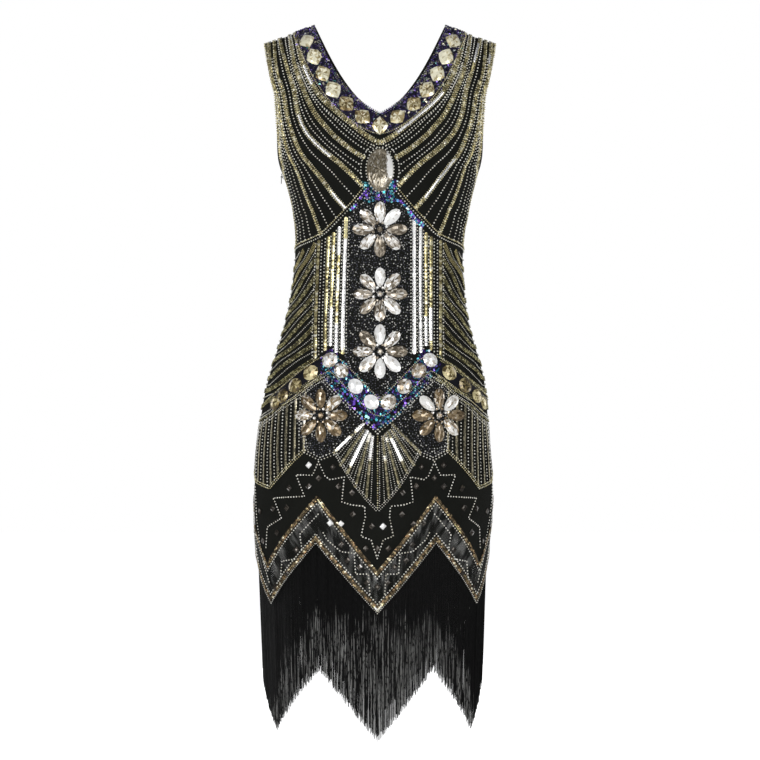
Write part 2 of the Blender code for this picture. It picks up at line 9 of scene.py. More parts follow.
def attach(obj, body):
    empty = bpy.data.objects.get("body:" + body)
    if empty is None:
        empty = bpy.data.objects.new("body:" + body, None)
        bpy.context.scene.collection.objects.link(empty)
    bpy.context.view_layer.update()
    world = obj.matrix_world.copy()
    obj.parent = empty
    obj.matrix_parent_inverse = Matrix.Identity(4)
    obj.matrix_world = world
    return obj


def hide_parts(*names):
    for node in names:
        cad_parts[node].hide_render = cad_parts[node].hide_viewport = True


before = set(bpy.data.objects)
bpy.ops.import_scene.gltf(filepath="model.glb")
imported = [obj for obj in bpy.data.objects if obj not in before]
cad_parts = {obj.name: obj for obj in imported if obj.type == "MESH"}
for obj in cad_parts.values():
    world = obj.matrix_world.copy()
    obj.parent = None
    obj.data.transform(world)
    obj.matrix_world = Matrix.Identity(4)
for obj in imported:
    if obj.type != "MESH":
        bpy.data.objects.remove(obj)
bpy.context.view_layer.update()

# A black net cocktail dress, beaded all over in gold, cream and peacock, with a pointed hem and a fringe.
# Places on the cloth are (turn, height): degrees round from a panel's middle, and millimetres of height.
# Places seen from the front are (across, height) in millimetres.
frontFace, backFace = -1, 1
faces = {"front": frontFace, "back": backFace}


def mix(low, high, share):
    return low + (high - low) * share


def clamped(value, low=0.0, high=1.0):
    return min(high, max(low, value))


def soft(value):
    value = clamped(value)
    return value * value * (3 - 2 * value)


def alongPoints(points, place):
    # the value at a place, from (place, value) pairs whose places rise or fall
    for (start, first), (end, last) in zip(points, points[1:]):
        share = (place - start) / (end - start)
        if share <= 1:
            return mix(first, last, max(0.0, share))
    return points[-1][1]


# The shape of the body inside: height, half width, depth in front, depth behind, swing across
bodyRows = (
    (0, 166.0, 48, 46, 0), (-65, 158.0, 66, 64, 0), (-100, 150.5, 76, 76, 0), (-135, 147.5, 85, 84, 0),
    (-187, 147.0, 97, 91, 0), (-207, 144.0, 101, 92, 0), (-222, 137.5, 103, 91, 0.8),
    (-257, 128.5, 105, 86, 1.2), (-291, 123.7, 101, 80, 0.5), (-335, 121.3, 95, 75, -1.4),
    (-380, 124.5, 94, 81, -2.8), (-431, 133.2, 97, 94, -4.4), (-500, 153.3, 102, 111, -5.2),
    (-535, 160.6, 105, 114, -6.8), (-605, 168.1, 109, 113, -9.8), (-674, 172.7, 111, 108, -9.4),
    (-744, 170.5, 109, 104, -11.2), (-860, 163.5, 106, 101, -10.2),
)
lowest = -bodyRows[-1][0]
shape = {
    "seamGap": 0.0003,
    "shoulderRound": 0.045,   # how far below its seam a shoulder is upright
    "shoulderSlope": 0.35, "slopeEnds": -0.150,
    "neckBottom": -0.136, "neckLean": 0.42, "neckBow": 10.9,
    "underarm": -0.207, "armWaist": -0.115, "armTurn": 54, "armFlare": 4,
    "middleSwing": 0.35,
    "cupRise": 0.017, "cupAt": (0.074, -0.238), "cupReach": (0.050, 0.056),
    "hipLine": -0.640,
    "hem": ((0, -0.840), (30, -0.742), (60, -0.831), (90, -0.742)),
    "hemWave": 0.018, "hemWaves": 6,
}


def rowValue(column, height):
    # a smooth curve through one column of the rows
    last = len(bodyRows) - 1
    height = max(-lowest, height)
    i = next(k for k in range(last) if bodyRows[k + 1][0] <= height)

    def slope(k):
        before, after = bodyRows[max(k - 1, 0)], bodyRows[min(k + 1, last)]
        return (after[column] - before[column]) / (after[0] - before[0])

    low, high = bodyRows[i], bodyRows[i + 1]
    span = high[0] - low[0]
    s = (height - low[0]) / span
    return (low[column] * (1 + 2 * s) * (1 - s) ** 2 + slope(i) * span * s * (1 - s) ** 2
            + high[column] * s * s * (3 - 2 * s) + slope(i + 1) * span * s * s * (s - 1))


# the same rows at each millimetre, in metres, so that a lookup is quick
fineRows = [[rowValue(column, -mm) / 1000 for mm in range(lowest + 2)] for column in range(1, 5)]


def levelValue(column, height):
    mm = clamped(-height * 1000, 0.0, float(lowest))
    i = int(mm)
    return mix(fineRows[column][i], fineRows[column][i + 1], mm - i)


def heightAt(course):
    # course is the distance down the cloth from the shoulder seam
    r = shape["shoulderRound"]
    return -r * (1 - math.cos(min(course / r, math.pi / 2))) - max(0.0, course - r * math.pi / 2)


def courseAt(height):
    r = shape["shoulderRound"]
    return r * math.acos(1 + height / r) if height > -r else r * (math.pi / 2 - 1) - height


def armholeTurn(height):
    low, waist, turn = shape["underarm"], shape["armWaist"], math.radians(shape["armTurn"])
    if height <= low:
        return math.pi / 2
    if height > waist:
        return turn + math.radians(shape["armFlare"]) * (1 - height / waist) ** 2
    down = (waist - height) / (waist - low)
    return math.pi / 2 - (math.pi / 2 - turn) * math.sqrt(max(0.0, 1 - down * down))


def halfWidth(height):
    return levelValue(0, height) / math.sin(armholeTurn(height))


def neckTurn(height):
    lean, bow, bottom = shape["neckLean"], shape["neckBow"], shape["neckBottom"]
    if height <= bottom:
        return 0.0
    root = math.sqrt(lean ** 2 + 4 * bow * (height - bottom))
    return math.asin((root - lean) / (2 * bow) / halfWidth(height))


innerShoulder = halfWidth(0) * math.sin(neckTurn(0))


def shoulderFall(across, height):
    fall = soft(1 - height / shape["slopeEnds"])
    return shape["shoulderSlope"] * max(0.0, abs(across) - innerShoulder) * fall


def swing(sine, height):
    return levelValue(3, height) * mix(shape["middleSwing"], 1, sine * sine)


def hemHeight(turn):
    return alongPoints(shape["hem"], abs(math.degrees(turn)))


def smoothPoint(face, turn, course):
    height = heightAt(course)
    depth = levelValue(1 if face == frontFace else 2, height)
    low = soft((shape["hipLine"] - height) / (shape["hipLine"] - shape["hem"][0][1]))
    stand = 1 + shape["hemWave"] * low * math.cos(shape["hemWaves"] * turn)
    across = halfWidth(height) * math.sin(turn) * stand
    away = math.sin(min(course / shape["shoulderRound"], math.pi / 2)) * depth * math.cos(turn)
    if face == frontFace:
        side = (abs(across) - shape["cupAt"][0]) / shape["cupReach"][0]
        up = (height - shape["cupAt"][1]) / shape["cupReach"][1]
        away += shape["cupRise"] * math.exp(-side * side - up * up) * math.cos(turn)
    y = face * (shape["seamGap"] / 2 + away * stand)
    across += swing(math.sin(turn), height)
    return Vector((across, y, height - shoulderFall(across, height)))


def outOf(face, turn, course):
    step = 1e-4
    roundBody = smoothPoint(face, turn + step, course) - smoothPoint(face, turn - step, course)
    down = smoothPoint(face, turn, course + step) - smoothPoint(face, turn, max(0, course - step))
    return (roundBody.cross(down) * face).normalized()


# Soft creases: the face, the start and end as (turn, height), half width and depth in mm,
# where a depth over 0 is a ridge and one under 0 a trough. One that starts at a turn over 0 is on both
# halves of the panel.
creases = (
    ("both", (50, -268), (84, -300), 9, -1.5), ("both", (38, -255), (80, -276), 8, 0.9),
    ("both", (56, -336), (86, -350), 7, -1.7), ("both", (60, -352), (87, -372), 8, 1.2),
    ("both", (58, -380), (86, -404), 7, -1.3), ("front", (4, -268), (14, -300), 9, -0.9),
    ("both", (72, -430), (80, -560), 11, -1.4), ("both", (46, -470), (52, -560), 12, 0.9),
    ("both", (12, -650), (8, -800), 11, 1.5), ("both", (25, -640), (30, -742), 12, -1.8),
    ("both", (44, -620), (47, -790), 10, 1.6), ("both", (60, -610), (62, -800), 13, -1.2),
    ("both", (76, -600), (80, -760), 12, 1.7), ("both", (84, -540), (86, -700), 9, -1.6),
    ("back", (6, -330), (26, -372), 10, -1.8), ("back", (4, -352), (22, -400), 9, 1.1),
    ("back", (14, -190), (40, -240), 13, -1.2), ("back", (8, -560), (30, -590), 12, -1.0),
    ("both", (40, -60), (46, -120), 9, -0.8), ("front", (46, -160), (66, -214), 10, -1.4),
    ("both", (-50, -300), (-84, -322), 8, 1.1), ("both", (-58, -352), (-86, -380), 7, -1.6),
    ("both", (-20, -612), (-14, -742), 12, -1.5), ("both", (-52, -640), (-56, -812), 10, -1.5),
)
creaseWork = {
    "degree": 2.5,            # millimetres round the body for each degree
    "halves": (0.85, 1.15),   # how strong a crease is on the left and on the right
    "uneven": (0.25, 5),      # how much its depth changes along it, and how often
    "ends": (1.2, 0.6),       # how it fades at its ends
    "seam": (87, 9),          # the turn where creases have ended, and the degrees before it where they fade
}


def creaseAt(face, turn, height):
    degrees, mm, degree = math.degrees(turn), height * 1000, creaseWork["degree"]
    (share, waves), (full, fade), (seam, calm) = (creaseWork[key] for key in ("uneven", "ends", "seam"))
    total = 0.0
    for side, start, end, width, depth in creases:
        if side != "both" and faces[side] != face:
            continue
        here, strength = degrees, 1.0
        if start[0] > 0:
            here, strength = abs(degrees), creaseWork["halves"][degrees > 0]
        ax, ay, bx, by, px = start[0] * degree, start[1], end[0] * degree, end[1], here * degree
        if not min(ay, by) - 3 * width < mm < max(ay, by) + 3 * width:
            continue
        s = ((px - ax) * (bx - ax) + (mm - ay) * (by - ay)) / ((bx - ax) ** 2 + (by - ay) ** 2)
        held = clamped(s)
        far = math.hypot(px - ax - held * (bx - ax), mm - ay - held * (by - ay))
        depth *= strength * (1 + share * math.sin(waves * s + start[1]))
        total += depth * math.exp(-(far / width) ** 2) * soft(full - abs(2 * held - 1) * fade)
    return total / 1000 * soft((seam - abs(degrees)) / calm)


def clothPoint(face, turn, height, lift=0.0):
    # turn in radians, height of the level section in metres: the point over the cloth, and the way out
    course = courseAt(height)
    out = outOf(face, turn, course)
    return smoothPoint(face, turn, course) + out * (lift + creaseAt(face, turn, height)), out


def fromPlan(across, height):
    # millimetres seen from the front to (turn in radians, height of the level section in metres)
    across, height = across / 1000, height / 1000
    level, sine = height, 0.0
    for _ in range(4):
        level = min(0.0, height + shoulderFall(across, level))
    for _ in range(4):
        sine = clamped((across - swing(sine, level)) / halfWidth(level), -1.0)
    return math.asin(sine), level


def placeOn(face, place, lift=0.0):
    return clothPoint(face, *fromPlan(*place), lift)


class Field:
    # what a node puts out; sums written with it become math nodes
    def __init__(self, node, label=0):
        self.node, self.socket = node, node.outputs[label]

    def __add__(self, other):
        return calculate("ADD", self, other)

    def __sub__(self, other):
        return calculate("SUBTRACT", self, other)

    def __rsub__(self, other):
        return calculate("SUBTRACT", other, self)

    def __mul__(self, other):
        return calculate("MULTIPLY", self, other)

    def held(self):
        # keeps the last sum between 0 and 1
        self.node.use_clamp = True
        return self


def setInputs(node, inputs):
    # gives a node's inputs their values, or joins them to fields
    for label, value in inputs.items():
        if isinstance(value, Field):
            node.id_data.links.new(value.socket, node.inputs[label])
        else:
            node.inputs[label].default_value = value


def addNode(tree, kind, inputs=None, **settings):
    made = tree.nodes.new(kind)
    for key, value in settings.items():
        setattr(made, key, value)
    setInputs(made, inputs or {})
    return made


def outputOf(tree, kind, inputs=None, label=0, **settings):
    return Field(addNode(tree, kind, inputs, **settings), label)


def calculate(operation, *values, kind="ShaderNodeMath", **more):
    tree = next(value.node.id_data for value in values if isinstance(value, Field))
    return Field(addNode(tree, kind, dict(enumerate(values)) | more, operation=operation))


def vectors(operation, *values, **more):
    return calculate(operation, *values, kind="ShaderNodeVectorMath", **more)


def ramp(source, stops):
    made = addNode(source.node.id_data, "ShaderNodeValToRGB", {"Fac": source})
    elements = made.color_ramp.elements
    elements.remove(elements[-1])
    for i, (place, colour) in enumerate(stops):
        element = elements.new(place) if i else elements[0]
        element.position, element.color = place, (*colour, 1)
    return Field(made, "Color")


def blend(share, low, high):
    # from one colour to another
    colours = {"Factor": share, 6: low, 7: high}
    return Field(addNode(share.node.id_data, "ShaderNodeMix", colours, data_type="RGBA"), 2)


def newObject(name, mesh):
    made = bpy.data.objects.new(name, mesh)
    bpy.context.scene.collection.objects.link(made)
    return made


def meshFrom(name, points, loops, smooth=True, edges=(), finishes=()):
    mesh = bpy.data.meshes.new(name)
    mesh.from_pydata([tuple(p) for p in points], edges, loops)
    if smooth and loops:
        mesh.shade_smooth()
    for label in finishes:
        mesh.materials.append(finish[label])
    return mesh


def setValues(mesh, label, values, domain="POINT"):
    mesh.attributes.new(label, "FLOAT", domain).data.foreach_set("value", values)


def closedShell(loops, count):
    # the outer loops, the same ones on the inner points that follow, and the rim between
    edges = [edge for loop in loops for edge in zip(loop, loop[1:] + loop[:1])]
    known = set(edges)
    rim = [(b, a, a + count, b + count) for a, b in edges if (b, a) not in known]
    return loops + [[i + count for i in reversed(loop)] for loop in loops] + rim


def gridLoops(face, rows, columns):
    # the faces between points that lie row by row
    loops = []
    for i in range(1, rows):
        for j in range(1, columns):
            a, b = i * columns + j, (i - 1) * columns + j
            loop = [a, b, b - 1, a - 1]
            loops.append(loop[::-1] if face == frontFace else loop)
    return loops


def wearOn(piece, slotName, *nodes):
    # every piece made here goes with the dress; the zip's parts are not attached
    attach(piece, "dress")
    if nodes:
        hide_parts(*nodes)
    return piece


def groupOf(treeKind, name, inputs, outputs):
    # the two ends of a node group; each input is a number, or the kind of its socket
    tree = bpy.data.node_groups.new(name, treeKind)
    for way, sockets in (("INPUT", inputs), ("OUTPUT", outputs)):
        for label, value in sockets.items():
            kind = value if isinstance(value, str) else "Int" if isinstance(value, int) else "Float"
            socket = tree.interface.new_socket(label, in_out=way, socket_type=f"NodeSocket{kind}")
            if value != kind:
                socket.default_value = value
    return addNode(tree, "NodeGroupInput"), addNode(tree, "NodeGroupOutput")


def risen(value, begin, steepness):
    # 0 below where it begins, and then up to 1
    return ((value - begin) * steepness).held()


def bumped(height, strength, distance):
    inputs = {"Height": height, "Strength": strength, "Distance": distance}
    return outputOf(height.node.id_data, "ShaderNodeBump", inputs)


def netGroup():
    # crossed threads: a mask of them, and the normal of the weave
    inputs = {"Vector": "Vector", "Threads": 600.0, "Depth": 0.25, "Thickness": 0.5}
    start, end = groupOf("ShaderNodeTree", "crossed threads", inputs, {"Mask": "Float", "Normal": "Vector"})
    scaled = vectors("SCALE", Field(start, "Vector"), Scale=Field(start, "Threads"))
    parts = addNode(start.id_data, "ShaderNodeSeparateXYZ", {0: scaled})
    x, y = Field(parts, "X"), Field(parts, "Y")
    waves = [calculate("ABSOLUTE", calculate("SINE", way * math.pi)) for way in (x + y, x - y)]
    height = calculate("MAXIMUM", *waves)
    mask = risen(height, 1.0 - Field(start, "Thickness"), 6.0)
    setInputs(end, {"Mask": mask, "Normal": bumped(height, Field(start, "Depth"), 0.0004)})
    return start.id_data


def mottleGroup():
    # slow and fast unevenness of a finish, from 0 to 1
    inputs = {"Vector": "Vector", "Slow": 12.0, "Fast": 240.0}
    start, end = groupOf("ShaderNodeTree", "uneven finish", inputs, {"Value": "Float", "Fine": "Float"})
    for label, detail, target in (("Slow", 3.0, "Value"), ("Fast", 2.0, "Fine")):
        noise = {"Detail": detail, "Vector": Field(start, "Vector"), "Scale": Field(start, label)}
        setInputs(end, {target: outputOf(start.id_data, "ShaderNodeTexNoise", noise, "Fac")})
    return start.id_data


crossedThreads, unevenFinish = netGroup(), mottleGroup()


def useGroup(tree, group, labels, **values):
    # places a group, in the object's own space where no Vector is given, and gives some of what it puts out
    if "Vector" not in values:
        values["Vector"] = outputOf(tree, "ShaderNodeTexCoord", label="Object")
    made = addNode(tree, "ShaderNodeGroup", node_tree=group)
    setInputs(made, values)
    return [Field(made, label) for label in labels]


def mottled(tree, **values):
    return useGroup(tree, unevenFinish, ("Value", "Fine"), **values)


def attribute(tree, label):
    return outputOf(tree, "ShaderNodeAttribute", label="Fac", attribute_name=label)


def newMaterial(name, roughness, **more):
    made = bpy.data.materials.new(name)
    made.use_nodes = True
    shader = made.node_tree.nodes["Principled BSDF"]
    setInputs(shader, {"Roughness": roughness} | {key.replace("_", " "): more[key] for key in more})
    return made, made.node_tree, shader


clothLook = {
    "net": (0.0024, 0.0026, 0.0021), "netLight": (0.0136, 0.0142, 0.0120), "netThreads": 900,
    # the grey of the bare net in creases is a painted sheen, with where it begins and how steeply
    "sheerThreads": 620, "sheerOpacity": 0.30, "paintedNetSheen": (0.20, 0.20, 0.19, 1.0), "netSheenStart": (0.47, 6.0),
    "lining": (0.010, 0.010, 0.012), "liningLight": (0.0240, 0.0240, 0.0288), "twillThreads": 1500,
}


def sheerNet(tree, cutMap):
    # where the lining has ended, and how much the bare net covers
    sheer = attribute(tree, "sheer")
    threads, = useGroup(tree, crossedThreads, ("Mask",), Vector=cutMap, Threads=clothLook["sheerThreads"],
                        Depth=0.3, Thickness=clothLook["sheerOpacity"])
    return sheer, (1.0 - sheer * (1.0 - threads)).held()


def netMaterial():
    # beaded net over a matt lining, and bare net where the lining ends above the hem, with a painted sheen in
    # grey streaks on the bare net
    made, tree, shader = newMaterial("black net over lining", 0.85, Sheen_Weight=0.008, Sheen_Roughness=0.5,
                                     Specular_IOR_Level=0.05)
    cutMap = outputOf(tree, "ShaderNodeUVMap", uv_map="cut")
    weave, normal = useGroup(tree, crossedThreads, ("Mask", "Normal"), Vector=cutMap,
                             Threads=clothLook["netThreads"], Depth=0.5, Thickness=0.45)
    slow, fine = mottled(tree, Vector=cutMap, Slow=14, Fast=420)
    black = ramp(weave * 0.5 + slow * 0.5, ((0.15, clothLook["net"]), (0.85, clothLook["netLight"])))
    # painted sheen: the bare net is painted grey in long upright streaks, as if light caught it in creases
    paintedNetSheen, _ = mottled(tree, Vector=vectors("MULTIPLY", cutMap, (1.0, 0.32, 1.0)), Slow=95, Fast=420)
    sheer, cover = sheerNet(tree, cutMap)
    colour = blend(risen(paintedNetSheen, *clothLook["netSheenStart"]) * (sheer * sheer), black, clothLook["paintedNetSheen"])
    setInputs(shader, {"Base Color": colour, "Roughness": fine * 0.25 + 0.70, "Normal": normal,
                       "Alpha": cover})
    return made


def liningMaterial():
    made, tree, shader = newMaterial("black satin lining", 0.42, Sheen_Weight=0.03, Specular_IOR_Level=0.3,
                                     Anisotropic=0.4)
    cutMap = outputOf(tree, "ShaderNodeUVMap", uv_map="cut")
    normal, = useGroup(tree, crossedThreads, ("Normal",), Vector=cutMap, Threads=clothLook["twillThreads"],
                       Depth=0.25, Thickness=0.6)
    slow, fine = mottled(tree, Vector=cutMap, Slow=9, Fast=300)
    colour = ramp(slow, ((0.25, clothLook["lining"]), (0.8, clothLook["liningLight"])))
    setInputs(shader, {"Base Color": colour, "Roughness": fine * 0.2 + 0.34, "Normal": normal,
                       "Alpha": sheerNet(tree, cutMap)[1]})
    return made


# Bead finishes: colours by chance along the tone, the painted highlight colours that a painted shine turns
# to, roughness, metal, coat
beadLooks = {
    "cream beads": (((0.0, (0.50, 0.47, 0.38)), (0.2, (0.84, 0.81, 0.70)), (1.0, (0.97, 0.96, 0.90))),
                    ((0.0, (0.97, 0.96, 0.90)), (1.0, (1.0, 0.99, 0.95))), 0.20, 0.08, 0.7),
    "gold beads": (((0.0, (0.52, 0.44, 0.22)), (0.5, (0.80, 0.72, 0.41)), (1.0, (0.98, 0.93, 0.73))),
                   ((0.0, (0.70, 0.63, 0.38)), (1.0, (0.95, 0.93, 0.86))), 0.24, 0.55, 0.5),
    "olive beads": (((0.0, (0.10, 0.085, 0.035)), (0.4, (0.28, 0.25, 0.11)), (0.8, (0.50, 0.46, 0.22)),
                     (1.0, (0.84, 0.79, 0.52))),
                    ((0.0, (0.30, 0.25, 0.10)), (1.0, (0.68, 0.60, 0.30))), 0.22, 0.8, 0.4),
    "gold sequins": (((0.0, (0.25, 0.21, 0.10)), (0.5, (0.64, 0.56, 0.29)), (0.85, (0.88, 0.80, 0.50)),
                      (1.0, (0.97, 0.93, 0.80))),
                     ((0.0, (0.56, 0.50, 0.28)), (0.5, (0.80, 0.74, 0.42)), (1.0, (0.98, 0.97, 0.95))),
                     0.22, 0.92, 0.0),
    "smoky sequins": (((0.0, (0.075, 0.068, 0.038)), (0.6, (0.130, 0.118, 0.070)),
                       (1.0, (0.25, 0.22, 0.145))),
                      ((0.0, (0.34, 0.30, 0.20)), (0.5, (0.78, 0.72, 0.55)), (1.0, (1.0, 0.99, 0.98))),
                      0.22, 0.85, 0.0),
    # in this finish and the three after it the last tones, near white, are a painted glint on the few that
    # get them by chance
    "bronze sequins": (((0.0, (0.035, 0.026, 0.016)), (0.45, (0.10, 0.076, 0.045)),
                        (0.68, (0.20, 0.155, 0.088)), (0.82, (0.31, 0.19, 0.10)), (0.92, (0.45, 0.37, 0.20)),
                        (1.0, (0.88, 0.82, 0.64))),
                       ((0.0, (0.24, 0.20, 0.12)), (0.5, (0.74, 0.66, 0.30)), (1.0, (0.98, 0.97, 0.95))),
                       0.20, 0.95, 0.0),
    "peacock sequins": (((0.0, (0.030, 0.015, 0.12)), (0.22, (0.10, 0.040, 0.38)), (0.42, (0.28, 0.13, 0.72)),
                         (0.55, (0.03, 0.10, 0.28)), (0.75, (0.03, 0.38, 0.50)), (0.93, (0.25, 0.80, 0.86)),
                         (1.0, (0.85, 0.92, 0.95))),
                        ((0.0, (0.03, 0.10, 0.28)), (1.0, (0.25, 0.80, 0.86))), 0.18, 0.75, 0.3),
    "violet sequins": (((0.0, (0.012, 0.011, 0.028)), (0.26, (0.06, 0.045, 0.18)), (0.46, (0.24, 0.15, 0.55)),
                        (0.60, (0.19, 0.18, 0.21)), (0.76, (0.36, 0.35, 0.32)), (0.87, (0.56, 0.52, 0.36)),
                        (0.94, (0.06, 0.28, 0.28)), (1.0, (0.85, 0.82, 0.80))),
                       ((0.0, (0.06, 0.03, 0.20)), (1.0, (0.20, 0.10, 0.50))), 0.2, 0.75, 0.3),
    "dark beads": (((0.0, (0.030, 0.032, 0.045)), (0.4, (0.095, 0.098, 0.125)), (0.66, (0.20, 0.20, 0.215)),
                    (0.80, (0.50, 0.50, 0.48)), (1.0, (0.95, 0.93, 0.88))),
                   ((0.0, (0.42, 0.42, 0.42)), (1.0, (0.80, 0.78, 0.70))), 0.2, 0.25, 0.6),
}


def beadMaterial(name):
    tones, shines, roughness, metal, coat = beadLooks[name]
    made, tree, shader = newMaterial(name, roughness, Metallic=metal, Coat_Weight=coat, Coat_Roughness=0.08)
    tone, shine = attribute(tree, "tone"), attribute(tree, "shine")
    _, fine = mottled(tree, Slow=30, Fast=900)
    # painted highlight: the colour turns to a pale shine colour where a painted shine is given
    setInputs(shader, {"Base Color": blend((shine * 3.0).held(), ramp(tone, tones), ramp(shine, shines)),
                       "Roughness": (fine * 0.12 + tone * 0.10) + (roughness - 0.08)})
    return made


# the dark, middle and light facets of each kind of stone; the light ones, near white, are a painted
# reflection
stoneLooks = {
    "champagne stones": ((0.14, 0.110, 0.072), (0.52, 0.45, 0.35), (1.0, 0.99, 0.97)),
    "pale gold stones": ((0.20, 0.135, 0.050), (0.60, 0.49, 0.24), (1.0, 0.95, 0.72)),
    "smoke stones": ((0.14, 0.090, 0.038), (0.39, 0.295, 0.17), (1.0, 0.98, 0.94)),
    "crystal stones": ((0.26, 0.19, 0.11), (0.76, 0.70, 0.62), (1.0, 1.0, 1.0)),
    "amber stones": ((0.07, 0.046, 0.014), (0.27, 0.20, 0.072), (0.78, 0.68, 0.38)),
    "bronze stones": ((0.08, 0.062, 0.036), (0.25, 0.21, 0.14), (0.97, 0.96, 0.93)),
    "dark squares": ((0.025, 0.021, 0.016), (0.085, 0.070, 0.053), (0.96, 0.95, 0.93)),
}
stoneCoats = {"dark squares": 0.25}


def stoneMaterial(name):
    # cut resin over foil: clear gloss over a metal, its facets painted darker and lighter at random as a
    # painted reflection
    made, tree, shader = newMaterial(name, 0.16, Metallic=0.60, Coat_Weight=stoneCoats.get(name, 0.8),
                                     Coat_Roughness=0.05)
    slow, fine = mottled(tree, Slow=60, Fast=500)
    value = attribute(tree, "tone") * 0.8 + slow * 0.3
    # painted reflection: the lightest facets are near white and less metal, so they look lit whichever way
    # they face
    setInputs(shader, {"Base Color": ramp(value, zip((0.15, 0.50, 0.82), stoneLooks[name])),
                       "Metallic": 0.70 - value * 0.55, "Roughness": fine * 0.12 + 0.12})
    return made


def threadMaterial(name, dark, light, threads):
    made, tree, shader = newMaterial(name, 0.42, Sheen_Weight=0.02, Sheen_Roughness=0.4,
                                     Specular_IOR_Level=0.10, Anisotropic=0.6)
    slow, fine = mottled(tree, Slow=25, Fast=threads)
    colour = ramp(attribute(tree, "tone") * 0.7 + fine * 0.4, ((0.2, dark), (1.0, light)))
    setInputs(shader, {"Base Color": colour, "Roughness": slow * 0.3 + 0.30,
                       "Normal": bumped(fine, 0.3, 0.0003)})
    return made


fringeLook = {
    # free is the painted grey, standing for sheen and see-through light between the strands
    "black": (0.0014, 0.0014, 0.0015), "dull": (0.0080, 0.0080, 0.0082), "free": (0.27, 0.27, 0.26, 1.0),
    # the two kinds of painted grey stripe: how far drawn out, how fine, and where and how steeply it begins
    "stripes": ((0.010, 560, 0.503, 34.0), (0.24, 640, 0.40, 14.0)),
    "ragged": (0.56, 0.8), "begins": 22.0,   # how uneven their upper ends are, and how steep
}


def fringeMaterial():
    # black thread, painted grey in broken stripes where its strands hang free of each other: painted sheen
    # and see-through light
    made, tree, shader = newMaterial("black fringe thread", 0.5, Sheen_Weight=0.02, Sheen_Roughness=0.4,
                                     Specular_IOR_Level=0.10)
    tone, fall, free = (attribute(tree, label) for label in ("tone", "fall", "free"))
    place = outputOf(tree, "ShaderNodeTexCoord", label="Object")
    share, fines = 1.0, []
    for drawnOut, count, begin, steepness in fringeLook["stripes"]:
        stretched = vectors("MULTIPLY", place, (1.0, 1.0, drawnOut))
        slow, fine = mottled(tree, Vector=stretched, Slow=count, Fast=900)
        share = risen(slow, begin, steepness) * share
        fines.append(fine)
    middle, most = fringeLook["ragged"]
    # the painted grey begins where each strand comes free, with ragged ends
    hanging = (fall - free) + (fines[0] - middle) * most
    share = share * risen(hanging, 0.0, fringeLook["begins"]) * (tone * 0.55 + 0.45)
    black = ramp(fine, ((0.3, fringeLook["black"]), (0.8, fringeLook["dull"])))
    setInputs(shader, {"Base Color": blend(share, black, fringeLook["free"]), "Roughness": slow * 0.3 + 0.35})
    return made


def zipMaterial():
    made, tree, shader = newMaterial("black zip enamel", 0.34, Metallic=0.4, Coat_Weight=0.25,
                                     Coat_Roughness=0.2)
    slow, fine = mottled(tree, Slow=180, Fast=1600)
    setInputs(shader, {"Base Color": ramp(slow, ((0.35, (0.010, 0.010, 0.011)), (0.8, (0.05, 0.05, 0.05)))),
                       "Roughness": fine * 0.3 + 0.24, "Normal": bumped(fine, 0.15, 0.0002)})
    return made


finish = {name: beadMaterial(name) for name in beadLooks}
finish |= {name: stoneMaterial(name) for name in stoneLooks}
finish |= {
    "net": netMaterial(), "lining": liningMaterial(), "fringe": fringeMaterial(), "zipMetal": zipMaterial(),
    "tape": threadMaterial("black hem tape", (0.006, 0.006, 0.007), (0.022, 0.022, 0.024), 2200),
    "neckGround": threadMaterial("violet band ground", (0.012, 0.011, 0.022), (0.058, 0.050, 0.095), 1200),
    "hipGround": threadMaterial("black band ground", (0.004, 0.004, 0.008), (0.016, 0.014, 0.020), 1200),
}
print("materials made:", len(finish))


panelCut = {
    "wall": 0.0014,
    "columns": 44,                            # on each half
    "rows": (26, 16, 86, 38),                 # neck, armhole, body, hem
    "rowGrowth": 1.35,                        # the neck's rows lie closer over the shoulder
    "flat": (0.47, 0.87), "area": 0.284,      # the largest width and length of a panel's cut, and its area
    "zip": (-0.209, -0.460, 0.0014, 0.012),   # top, bottom, half gap and fade
    "seamEdge": 0.00002,                      # how far a seam's edge stays from the other panel
    "sheerEdge": 0.006,                       # how far below the lining's end the net is bare
    "sheerFull": (0.012, 1.8, 0.62),          # lower down it is closer: a step, where it begins, and how bare
}
upperZigzag = ((0, -785), (29, -680), (62, -779), (90, -684))   # where the lining ends


def sideTurn(half, height):
    turn = armholeTurn(height)
    if half > 0:
        return turn
    top, bottom, gap, fade = panelCut["zip"]
    cut = gap * min(soft((top + fade - height) / fade), soft((height - bottom) / fade))
    return turn - cut / levelValue(1, height)


def levelRows():
    neckRows, armRows, lowerRows, _ = panelCut["rows"]
    neck, arm, hip = (courseAt(shape[key]) for key in ("neckBottom", "underarm", "hipLine"))
    rows = [neck * (i / neckRows) ** panelCut["rowGrowth"] for i in range(neckRows)]
    rows += [mix(neck, arm, math.sin(math.pi / 2 * i / armRows)) for i in range(armRows)]
    return rows + [mix(arm, hip, i / lowerRows) for i in range(lowerRows + 1)]


def sheerAt(turn, height):
    # 0 over the lining and up to 1 below its zigzag end
    below = alongPoints(upperZigzag, abs(math.degrees(turn))) / 1000 - height
    step, begin, full = panelCut["sheerFull"]
    return clamped(below / panelCut["sheerEdge"]) * mix(1.0, full, soft(below / step - begin))


